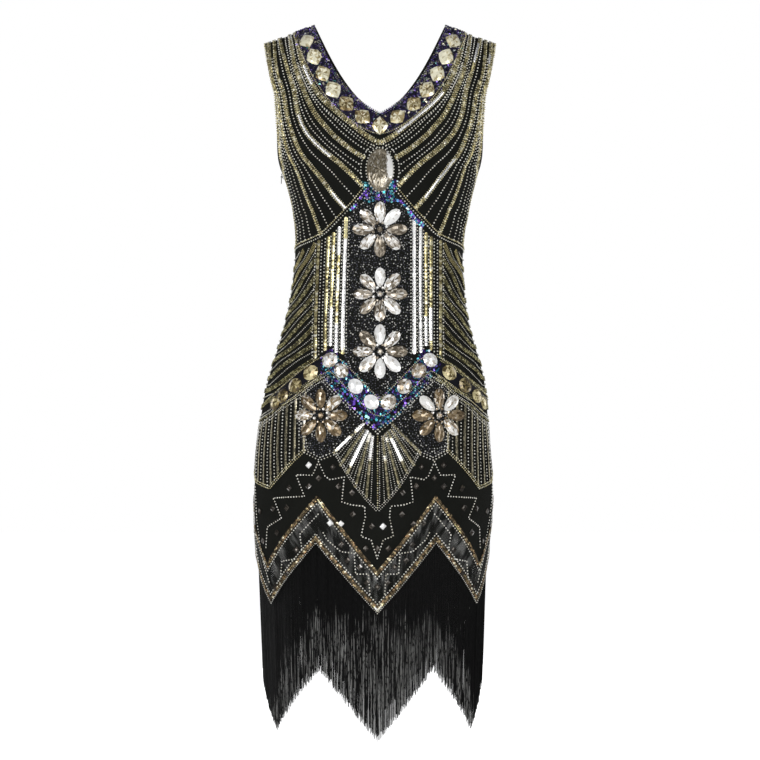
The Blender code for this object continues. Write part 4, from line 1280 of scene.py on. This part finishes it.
def makeFlower(side, face, number, centre, rings):
    inMiddle = number <= flowers["middle"]
    stones = Stones(100 + number * 7 + face, *(() if inMiddle else (flowers["sideBases"],)))
    size, lift = stoneSizes["petal"], stoneSizes["lift"]
    begin, count = flowers["petalStart"], flowers["petals"]
    for i in range(count):
        turn = 2 * math.pi * i / count + math.pi / 2
        spot, out = placeOn(face, around(centre, begin + size["outline"][0] / 2, turn))
        root = placeOn(face, around(centre, begin, turn))[0]
        outline = grown(size["outline"], stones.chance.uniform(*flowers["grow"]))
        out = (out + stones.uneven(flowers["tip"]) * 0.6).normalized()
        stones.add(outline, size["rise"], spot, spot - root, out, lift, size["cut"], rings)
    spot, out = placeOn(face, centre)
    stones.add(roundOutline(*flowers["button"]), flowers["buttonRise"], spot, Vector((1, 0, 0)), out, lift,
               ring=rings)
    for i in range(count):
        small, out = placeOn(face, around(centre, flowers["smallRound"], (2 * i + 1) * math.pi / count))
        stones.add(roundOutline(*flowers["small"]), flowers["smallRise"], small, spot - small, out,
                   flowers["smallLift"])
    return stones.make(f"{side}_flower_stones_{number}", "champagne stones" if inMiddle else "smoke stones",
                       "stones", f"flower_{side}_{number}")


def makeFlowers(side, face):
    rings, places = Work(face), flowers["places"]
    made = [makeFlower(side, face, number, centre, rings) for number, centre in enumerate(places, 1)]
    return [*made, threadBeads(f"{side}_flower_beads", rings, ringBeads)]


def bandRows(half, width, spacing=5):
    # rows of places across a band, from one end to the other, from the middle line of its one half
    line = [(-x, z) for x, z in reversed(half[1:])] + list(half)
    smooth = []
    for a, b in zip(line, line[1:]):
        count = max(1, round(math.dist(a, b) / spacing))
        smooth += [(mix(a[0], b[0], k / count), mix(a[1], b[1], k / count)) for k in range(count)]
    smooth.append(line[-1])
    for _ in range(6):
        smooth = [smooth[0], *(tuple((p + 2 * q + r) / 4 for p, q, r in zip(a, b, c))
                               for a, b, c in zip(smooth, smooth[1:], smooth[2:])), smooth[-1]]
    rows = []
    for i, (x, z) in enumerate(smooth):
        back, ahead = smooth[max(0, i - 2)], smooth[min(len(smooth) - 1, i + 2)]
        way = Vector((ahead[0] - back[0], ahead[1] - back[1])).normalized()
        rows.append([(x - way[1] * share * width, z + way[0] * share * width)
                     for share in (-0.5, -0.3, -0.1, 0.1, 0.3, 0.5)])
    return rows


# finish and tree numbers of what is strewn, in the order of beadSizes
bandWork = {
    "neck": {"width": 31, "reach": 0.400,
             "edges": {"gold beads": (-0.46,), "violet sequins": (0.42, 0.48, 0.53)},
             "sequins": ("sequin", "violet sequins", 0.0024, 0.0038, 0.0038, 0.0012, 0.0, 0.5, 0.2, 71)},
    "hip": {"width": 24, "reach": 0.086, "edges": {"gold beads": (-0.46, 0.46)},
            "sequins": ("sequin", "peacock sequins", 0.0023, 0.0038, 0.0038, 0.0012, 0.0, 0.5, 0.2, 71)},
    "lifts": (0.0022, 0.0013, 0.0006),   # of the middle, of the edges and underneath
    "top": (0.3, 0.6, 0.82, 0.96), "topTurn": 38.6, "topClear": 0.006,   # rows up to the seam
    "grow": (0.94, 1.05),                                                # how its stones differ in size
}


def topRows(row, half):
    # carries the neck band on from its last row to the shoulder's seam
    outerTurn, innerTurn = math.radians(bandWork["topTurn"]), neckTurn(0) + bandWork["topClear"]
    made = []
    for share in bandWork["top"]:
        lasts = [half * mix(outerTurn, innerTurn, j / (len(row) - 1)) for j in range(len(row))]
        made.append([(mix(turn, last, share), heightAt(courseAt(height) * (1 - share)))
                     for (turn, height), last in zip(row, lasts)])
    return made[::half]


def makeBand(side, face, kind, half):
    # the raised ground of a band, with rows of beads along its edges and sequins strewn over it
    band = bandWork[kind]
    middle, edge, under = bandWork["lifts"]
    rows = [[fromPlan(*place) for place in row] for row in bandRows(half, band["width"])]
    if kind == "neck":
        rows = [*topRows(rows[0], -1), *rows, *topRows(rows[-1], 1)]
    across = len(rows[0])
    outer = [clothPoint(face, *place, mix(middle, edge, abs(2 * j / (across - 1) - 1)))[0]
             for row in rows for j, place in enumerate(row)]
    inner = [clothPoint(face, *place, under)[0] for row in rows for place in row]
    loops, name = gridLoops(face, len(rows), across), f"{side}_{kind}_band"
    mesh = meshFrom(name, outer + inner, closedShell(loops, len(outer)), finishes=(f"{kind}Ground",))
    made = [wearOn(newObject(name, mesh), "beads", f"{kind}_band_{side}")]
    # sequins strewn over its outer side, all along the neck and at the middle of the hips
    near = [loop for loop in loops if all(abs(outer[i].x) < band["reach"] for i in loop)]
    patch = newObject(f"{side}_{kind}_patch", meshFrom("patch", outer, near))
    made.append(growBeads(f"{name}_sequins", patch, patchTrees, band["sequins"], face))
    for label, edges in band["edges"].items():
        rims = Work(face)
        for edge in edges:
            places = [[mix(first, last, edge + 0.5) for first, last in zip(row[0], row[-1])] for row in rows]
            rims.addChain([clothPoint(face, *place, middle) for place in places])
        size = (ringBeads[0], label, *ringBeads[2:])
        made.append(threadBeads(f"{name}_{label.replace(' ', '_')}", rims, size))
    return made


# the stones of the bands: name, finish, seed and the tones of its stones
bandStones = {
    "neck": ("pale gold stones", 301, (0.30, 0.46, 0.62, 0.80, 1.0)),
    "hip": ("crystal stones", 401, (0.10, 0.30, 0.50, 0.75, 1.10)),
    "outer_hip": ("amber stones", 501, (0.06, 0.18, 0.34, 0.52, 0.80)),
}
innerHip = 4   # how many hip stones on each side are the inner ones


def makeBandStones(side, face):
    stones = {kind: Stones(seed + face, bases) for kind, (_, seed, bases) in bandStones.items()}
    rings = Work(face)
    for kind, places in (("neck", neckStonePlaces), ("hip", hipStonePlaces)):
        size = stoneSizes[kind]
        for i, (x, z) in enumerate(places):
            step = places[i + 1] if i + 1 < len(places) else places[i - 1]
            if x == 0:
                step = (0, z + 8)
            for half in ((1,) if x == 0 else (1, -1)):
                spot, out = placeOn(face, (x * half, z))
                along = placeOn(face, (step[0] * half, step[1]))[0] - spot
                outline = grown(size["outline"], stones["neck"].chance.uniform(*bandWork["grow"]))
                gather = stones["outer_hip" if kind == "hip" and i >= innerHip else kind]
                gather.add(outline, size["rise"], spot, along, out, stoneSizes["bandLift"], size["cut"],
                           rings)
    made = [stones[kind].make(f"{side}_{kind}_stones", bandStones[kind][0], "stones") for kind in bandStones]
    return [*made, threadBeads(f"{side}_stone_rings", rings, ringBeads)]


ovalWork = {
    "centre": (0, -217), "size": (38, 61), "rise": 0.0056, "facets": 36, "domeRows": 11,
    "lift": 0.0005, "girdle": 0.0014, "uneven": 0.00015, "seed": 811,
    "base": (0.55, 0.98),                 # how wide its lowest rows are
    # painted highlight: how much lighter, and where, the facets on the right are painted, as a band of
    # reflected light
    "tones": (0.05, 0.55), "paintedHighlightLift": 0.9,
    "bright": (0.42, 0.25, -0.55, 0.4),   # from how far across and how far up, each with its fade
    # the beads round it: how much wider and taller, the lift, and the first and last degree
    "rings": ((1.04, 1.03, 0.0018, 0, 360), (1.42, 1.22, 0.0012, 20, 160), (1.42, 1.22, 0.0012, 160, 196),
              (1.42, 1.22, 0.0012, -16, 20)),
}


def makeOval(side, face):
    # one large domed stone with many small facets, and beads sewn round it
    (cx, cz), steps, rows = ovalWork["centre"], ovalWork["facets"], ovalWork["domeRows"]
    half, tall = ovalWork["size"][0] / 2, ovalWork["size"][1] / 2
    chance, low, rise = random.Random(ovalWork["seed"]), ovalWork["girdle"], ovalWork["rise"]

    def ovalPoint(share, turn, lift, high=None):
        place = (cx + share * half * math.cos(turn), cz + (high or share) * tall * math.sin(turn))
        return placeOn(face, place, lift)

    profile = [*((share, ovalWork["lift"]) for share in ovalWork["base"]), (1.0, low)]
    quarters = [math.pi / 2 * k / rows for k in range(1, rows)]
    profile += [(math.cos(quarter), low + rise * math.sin(quarter)) for quarter in quarters]
    points = [placeOn(face, ovalWork["centre"], ovalWork["lift"])[0]]
    for ring, (share, lift) in enumerate(profile):
        for k in range(steps):
            uneven = chance.uniform(-1, 1) * ovalWork["uneven"]
            points.append(ovalPoint(share, 2 * math.pi * (k + 0.5 * (ring % 2)) / steps, lift + uneven)[0])
    points.append(placeOn(face, ovalWork["centre"], low + rise)[0])
    loops, tones = [], []
    for k in range(steps):
        n = (k + 1) % steps
        loops.append((0, 1 + n, 1 + k))
        for ring in range(len(profile) - 1):
            a, b = 1 + ring * steps, 1 + (ring + 1) * steps
            if ring % 2:
                loops += [(a + k, a + n, b + n), (a + k, b + n, b + k)]
            else:
                loops += [(a + k, a + n, b + k), (a + n, b + n, b + k)]
        loops.append((b + k, b + n, len(points) - 1))
    # painted highlight: facets towards the right are painted lighter, but not on the lowest part
    across, acrossFade, up, upFade = ovalWork["bright"]
    for loop in loops:
        middle = sum((points[i] for i in loop), Vector()) / len(loop)
        bright = (soft(((middle.x * 1000 - cx) / half - across) / acrossFade)
                  * soft(((middle.z * 1000 - cz) / tall - up) / upFade))
        tones.append(clamped(chance.uniform(*ovalWork["tones"]) + ovalWork["paintedHighlightLift"] * bright))
    if face == backFace:
        loops = [loop[::-1] for loop in loops]
    stone = tonedPiece(f"{side}_oval_stone", points, loops, tones, "bronze stones", "stones",
                       f"medallion_{side}")
    ring = Work(face)
    for wide, high, lift, start, end in ovalWork["rings"]:
        ring.addChain([ovalPoint(wide, math.radians(mix(start, end, k / 48)), lift, high) for k in range(49)])
    return [stone, threadBeads(f"{side}_oval_ring", ring, beadSizes["cream"])]


# Patches strewn with small dark beads, as the turns at each height
middlePatch = ((-246, 7.5), (-262, 14), (-286, 20.8), (-300, 21.2), (-399, 20.0), (-470, 19.6), (-484, 18.4),
               (-512, 10.6), (-536, 3.6), (-543, 1.0))
hipPatch = ((-503, 27, 31), (-520, 20, 38), (-545, 15, 42), (-575, 7, 42.5), (-585, 6, 41.5),
            (-611, 19.5, 36.5), (-620, 26.5, 29.5))
# where peacock sequins lie close: under the oval, and above the point of the hip band
peacockPatches = (
    ((-232, 8.6, 10.6), (-240, 4.5, 10.6), (-247, 0.0, 9.6), (-256, 0.0, 9.0), (-262, 3.0, 12.0)),
    ((-470, 24.5, 30.0), (-482, 21.5, 31.5), (-496, 17.6, 31.0), (-520, 10.5, 25.5), (-545, 2.0, 16.0),
     (-560, 0.0, 10.5), (-580, 0.0, 2.2)),
)
# finish and tree numbers of what is strewn, in the order of beadSizes
strewnSizes = {
    "beads": ("speck", "dark beads", 0.0027, 0.0024, 0.0024, 0.0018, 0.0, 0.6, 0.2, 97),
    "sequins": ("sequin", "peacock sequins", 0.0029, 0.0038, 0.0038, 0.0012, 0.0, 0.5, 0.2, 113),
    "lift": 0.0010, "step": 6,
}


def mirrored(rows):
    return tuple((height, -last, -first) for height, first, last in rows)


def strew(side, face, kind, grids):
    # patches of cloth between two turns at each height, with beads strewn over them all
    points, loops = [], []
    for rows, across in grids:
        dense, start = [], len(points)
        for a, b in zip(rows, rows[1:]):
            count = max(1, round(abs(b[0] - a[0]) / strewnSizes["step"]))
            dense += [tuple(mix(p, q, k / count) for p, q in zip(a, b)) for k in range(count)]
        for height, first, last in [*dense, rows[-1]]:
            for j in range(across + 1):
                turn = math.radians(mix(first, last, j / across))
                points.append(clothPoint(face, turn, height / 1000, strewnSizes["lift"])[0])
        loops += [[i + start for i in loop] for loop in gridLoops(face, len(dense) + 1, across + 1)]
    patch = newObject(f"{side}_strewn_{kind}_patch", meshFrom(kind, points, loops))
    return growBeads(f"{side}_strewn_{kind}", patch, patchTrees, strewnSizes[kind], face)


def makePatches(side, face):
    middle = [(height, -turn, turn) for height, turn in middlePatch]
    beads = [(middle, 14), (hipPatch, 8), (mirrored(hipPatch), 8)]
    sequins = [(rows, 4) for patch in peacockPatches for rows in (patch, mirrored(patch))]
    return [strew(side, face, "beads", beads), strew(side, face, "sequins", sequins)]


squares = {
    # bright, last, is how much a painted highlight lifts a square's tone
    "seed": 601, "bases": (-0.28, -0.18, -0.08, 0.02, 0.14), "outline": (0.0104, 0.0096, 4), "rise": 0.0014,
    "lift": 0.0008, "cut": (0.30, 0.3, 0.80), "turned": 0.25, "tip": 0.12, "bright": 1.5,
}


def makeDiamonds(side, face):
    stones = Stones(squares["seed"] + face, squares["bases"])
    for turn, height, *bright in diamondPlaces:
        for half in ((1,) if turn == 0 else (1, -1)):
            spot, out = clothPoint(face, math.radians(turn * half), height / 1000)
            up = Vector((1 + stones.chance.uniform(-squares["turned"], squares["turned"]), 0, 1))
            # painted highlight: the squares listed with this half are painted white
            stones.add(roundOutline(*squares["outline"]), squares["rise"], spot, up,
                       (out + stones.uneven(squares["tip"])).normalized(), squares["lift"], squares["cut"],
                       paintedHighlightLift=squares["bright"] if half in bright else 0.0)
    return stones.make(f"{side}_square_sequins", "dark squares", "beads")


for side, face in faces.items():
    pieces[side] += [
        *makeFlowers(side, face), *makeBand(side, face, "neck", (*neckStonePlaces, neckBandEnd)),
        *makeBand(side, face, "hip", (hipTip, *hipStonePlaces, hipBandEnd)), *makeBandStones(side, face),
        *makeOval(side, face), *makePatches(side, face), makeDiamonds(side, face),
    ]
print("stones set and beads strewn")


fringeWork = {
    "tape": 0.0010, "setIn": 0.0025, "above": 0.004, "seed": 700,
    # how the strands differ: in place along the hem, in the tape, in length and in where they come free and
    # their painted grey begins
    "sway": 0.0020, "apart": 0.3, "inTape": (0.1, 0.9), "cut": (-1, 0.6), "uneven": 0.0075,
    "sheenStartUneven": 0.06,
    # how many strands, their length, their width and how many steps each has
    "strands": (1400, 0.178, 0.00066, 6), "under": (320, 0.098, 0.00090, 5),
    # the share of its length where a strand comes free and its painted grey begins, by its turn
    "free": ((0, 0.03), (4, 0.10), (10, 0.29), (16, 0.36), (28, 0.56), (54, 0.57), (64, 0.90), (90, 1.4)),
    "turns": (90.4, 720),                             # the last turn each way, and steps between the two
    "tapeTurns": (89.5, 120), "tapeUp": (0.010, 0.002),   # the same for the tape, and its edges over the hem
}


def fringeTree():
    # each root becomes one hanging strand of three sides
    start = geometryTree("hanging strands", {"Width": 0.0006, "Sway": 0.003, "Steps": 9, "Seed": 5})
    tree, seed, kind = start.id_data, Field(start, "Seed"), "FLOAT_VECTOR"
    straight = {"Curve": outputOf(tree, "GeometryNodeCurvePrimitiveLine", {"End": (0, 0, -1)}),
                "Count": Field(start, "Steps")}
    strand = outputOf(tree, "GeometryNodeResampleCurve", straight, mode="COUNT")
    sizes = outputOf(tree, "ShaderNodeCombineXYZ", {"X": 1.0, "Y": 1.0, "Z": named(tree, "drop")})
    stand = {"Points": Field(start, "Geometry"), "Instance": strand, "Scale": sizes}
    hung = outputOf(tree, "GeometryNodeInstanceOnPoints", stand)
    hung = stored(hung, "tone", randomValue(0.0, 1.0, seed, 1))
    hung = stored(hung, "lean", randomValue((-1.0, -1.0, 0.0), (1.0, 1.0, 0.0), seed, 2, kind), kind)
    real = outputOf(tree, "GeometryNodeRealizeInstances", {"Geometry": hung})
    share = outputOf(tree, "GeometryNodeSplineParameter")
    place = outputOf(tree, "GeometryNodeInputPosition")
    drawnOut = {"Scale": 38.0, "Detail": 2.0, "Vector": vectors("MULTIPLY", place, (1, 1, 0.28))}
    uneven = vectors("SUBTRACT", outputOf(tree, "ShaderNodeTexNoise", drawnOut, "Color"), (0.5, 0.5, 0.5))
    lean = vectors("MULTIPLY_ADD", named(tree, "lean", kind), (0.14, 0.14, 0.0), uneven)
    sway = vectors("SCALE", vectors("MULTIPLY", lean, (1, 1, 0)), Scale=Field(start, "Sway"))
    # the strands hang a little inwards
    inwards = vectors("MULTIPLY_ADD", place, (-0.042, -0.042, 0), sway)
    moved = {"Geometry": real, "Offset": vectors("SCALE", inwards, Scale=share)}
    fallen = stored(outputOf(tree, "GeometryNodeSetPosition", moved), "fall", share, domain="POINT")
    section = {"Resolution": 3, "Radius": Field(start, "Width") * 0.5}
    section = outputOf(tree, "GeometryNodeCurvePrimitiveCircle", section)
    tube = {"Curve": fallen, "Profile Curve": section, "Fill Caps": True}
    return finishTree(start, outputOf(tree, "GeometryNodeCurveToMesh", tube), True)


hangingStrands = fringeTree()


def hangStrands(side, face, layer):
    # strands at even steps along the hem's length seen from above
    (count, length, width, steps), above = fringeWork[layer], fringeWork["above"]
    last, parts = fringeWork["turns"]
    turns = [math.radians(mix(-last, last, k / parts)) for k in range(parts + 1)]
    spots = [smoothPoint(face, turn, courseAt(hemHeight(turn))) for turn in turns]
    runs = [0.0]
    for a, b in zip(spots, spots[1:]):
        runs.append(runs[-1] + math.hypot(b.x - a.x, b.y - a.y))
    chance = random.Random(fringeWork["seed"] + face + count)
    roots, drops, sheenStarts, k = [], [], [], 0
    for i in range(count):
        run = runs[-1] * (i + 0.5 + chance.uniform(-fringeWork["apart"], fringeWork["apart"])) / count
        while k < len(runs) - 2 and runs[k + 1] < run:
            k += 1
        turn = mix(turns[k], turns[k + 1], (run - runs[k]) / (runs[k + 1] - runs[k]))
        depth = fringeWork["setIn"] + fringeWork["tape"] * chance.uniform(*fringeWork["inTape"])
        roots.append(clothPoint(face, turn, hemHeight(turn) + above, -depth)[0])
        drops.append(length + above + chance.uniform(*fringeWork["cut"]) * fringeWork["uneven"])
        # where the painted grey begins on this strand
        free, uneven = alongPoints(fringeWork["free"], abs(math.degrees(turn))), fringeWork["sheenStartUneven"]
        sheenStarts.append(free + chance.uniform(-uneven, uneven))
    source = meshFrom("roots", roots, [])
    setValues(source, "drop", drops)
    setValues(source, "free", sheenStarts)
    numbers = {"Width": width, "Sway": fringeWork["sway"], "Steps": steps, "Seed": 3 + face}
    return runTree(newObject("roots", source), hangingStrands, numbers, "fringe", f"{side}_fringe_{layer}")


def makeFringe(side, face):
    made = [hangStrands(side, face, layer) for layer in ("strands", "under")]
    wearOn(made[0], "thread", f"fringe_{side}")
    wearOn(made[1], "thread")
    # the tape that holds them
    (last, parts), (high, low), inner = fringeWork["tapeTurns"], fringeWork["tapeUp"], fringeWork["setIn"]
    tape, loops, outer = [], [], inner + fringeWork["tape"]
    for k in range(parts + 1):
        turn = math.radians(mix(-last, last, k / parts))
        height = hemHeight(turn)
        for up, depth in ((high, inner), (low, inner), (low, outer), (high, outer)):
            tape.append(clothPoint(face, turn, height + up, -depth)[0])
        if k:
            a, b = (k - 1) * 4, k * 4
            loops += [(a + j, a + (j + 1) % 4, b + (j + 1) % 4, b + j) for j in range(4)]
    loops += [(0, 1, 2, 3), tuple(len(tape) - 4 + j for j in (3, 2, 1, 0))]
    mesh = meshFrom(f"{side}_hem_tape", tape, loops, False, finishes=("tape",))
    shaped = bmesh.new()
    shaped.from_mesh(mesh)
    bmesh.ops.recalc_face_normals(shaped, faces=shaped.faces)
    shaped.to_mesh(mesh)
    shaped.free()
    return [*made, wearOn(newObject(mesh.name, mesh), "thread")]


for side, face in faces.items():
    pieces[side] += makeFringe(side, face)
    print("fringe hung:", side, len(pieces[side][-2].data.polygons))


# The zip keeps its own shapes
for node, label in (("zip_tape", "tape"), ("zip_slider", "zipMetal"), ("zip_pull", "zipMetal")):
    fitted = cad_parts[node]
    if not fitted.material_slots:
        fitted.data.materials.append(finish[label])
    for place in fitted.material_slots:
        place.material = finish[label]


studio = {
    "camera": (0.0, -3.3, -0.512), "lens": 107.8,
    "floor": -1.34, "reach": 9.0, "glow": 0.9,
    "pale": (0.93, 0.93, 0.93), "shaded": (0.91605, 0.91605, 0.91605),
    "air": ((0.80, 0.82, 0.85, 1), 0.24), "behind": ((1.0, 1.0, 1.0, 1), 1.0),
    "aim": (0, 0, -0.5),
    # where each light stands, its width and height, and its power
    "lights": {
        "front": ((0.0, -3.7, -0.35), (1.4, 1.4), 32), "left": ((-2.3, -2.7, -0.1), (0.9, 1.9), 29),
        "right": ((2.3, -2.7, -0.1), (0.9, 1.9), 24), "over": ((0.0, -1.4, 2.2), (2.0, 1.0), 5),
        "leftEdge": ((-2.0, 0.9, -0.3), (0.6, 2.0), 9), "rightEdge": ((2.0, 0.9, -0.3), (0.6, 2.0), 9),
        "behind": ((0.0, 3.7, 0.0), (1.4, 1.4), 20),
    },
}


def studioFloor():
    # a plain pale floor that the camera sees evenly lit, and sees through from below
    far, height, pale = studio["reach"], studio["floor"], studio["pale"]
    corners = ((-far, -far, height), (far, -far, height), (far, far, height), (-far, far, height))
    mesh = meshFrom("studio_floor", corners, [(0, 1, 2, 3)])
    made, tree, shader = newMaterial("pale studio floor", 0.9, Emission_Strength=studio["glow"])
    slow, _ = mottled(tree, Slow=1.5, Fast=40)
    seen = outputOf(tree, "ShaderNodeLightPath", label="Is Camera Ray")
    under = outputOf(tree, "ShaderNodeNewGeometry", label="Backfacing")
    setInputs(shader, {"Base Color": ramp(slow, ((0.2, studio["shaded"]), (0.8, pale))),
                       "Emission Color": blend(seen, (0, 0, 0, 1), (*pale, 1)), "Alpha": 1.0 - under})
    mesh.materials.append(made)
    newObject("studio_floor", mesh)


studioFloor()
for name, (place, size, power) in studio["lights"].items():
    data = bpy.data.lights.new(name, "AREA")
    data.shape = "RECTANGLE"
    data.size, data.size_y = size
    data.energy = power
    light = newObject(name, data)
    light.visible_camera = False
    light.location = place
    light.rotation_euler = (Vector(studio["aim"]) - Vector(place)).to_track_quat("-Z", "Y").to_euler()

# soft light from all round, and a plain white background
world = bpy.data.worlds.new("studio")
world.use_nodes = True
airTree = world.node_tree
air, behind = airTree.nodes["Background"], addNode(airTree, "ShaderNodeBackground")
for node, (colour, strength) in ((air, studio["air"]), (behind, studio["behind"])):
    setInputs(node, {"Color": colour, "Strength": strength})
seen = outputOf(airTree, "ShaderNodeLightPath", label="Is Camera Ray")
both = outputOf(airTree, "ShaderNodeMixShader", {0: seen, 1: Field(air), 2: Field(behind)})
setInputs(airTree.nodes["World Output"], {"Surface": both})
bpy.context.scene.world = world
bpy.context.scene.view_settings.view_transform = "Standard"

lens = bpy.data.cameras.new("camera")
lens.lens = studio["lens"]
lens.sensor_width = 36.0
camera = newObject("camera", lens)
camera.location = studio["camera"]
camera.rotation_euler = (math.pi / 2, 0, 0)
bpy.context.scene.camera = camera
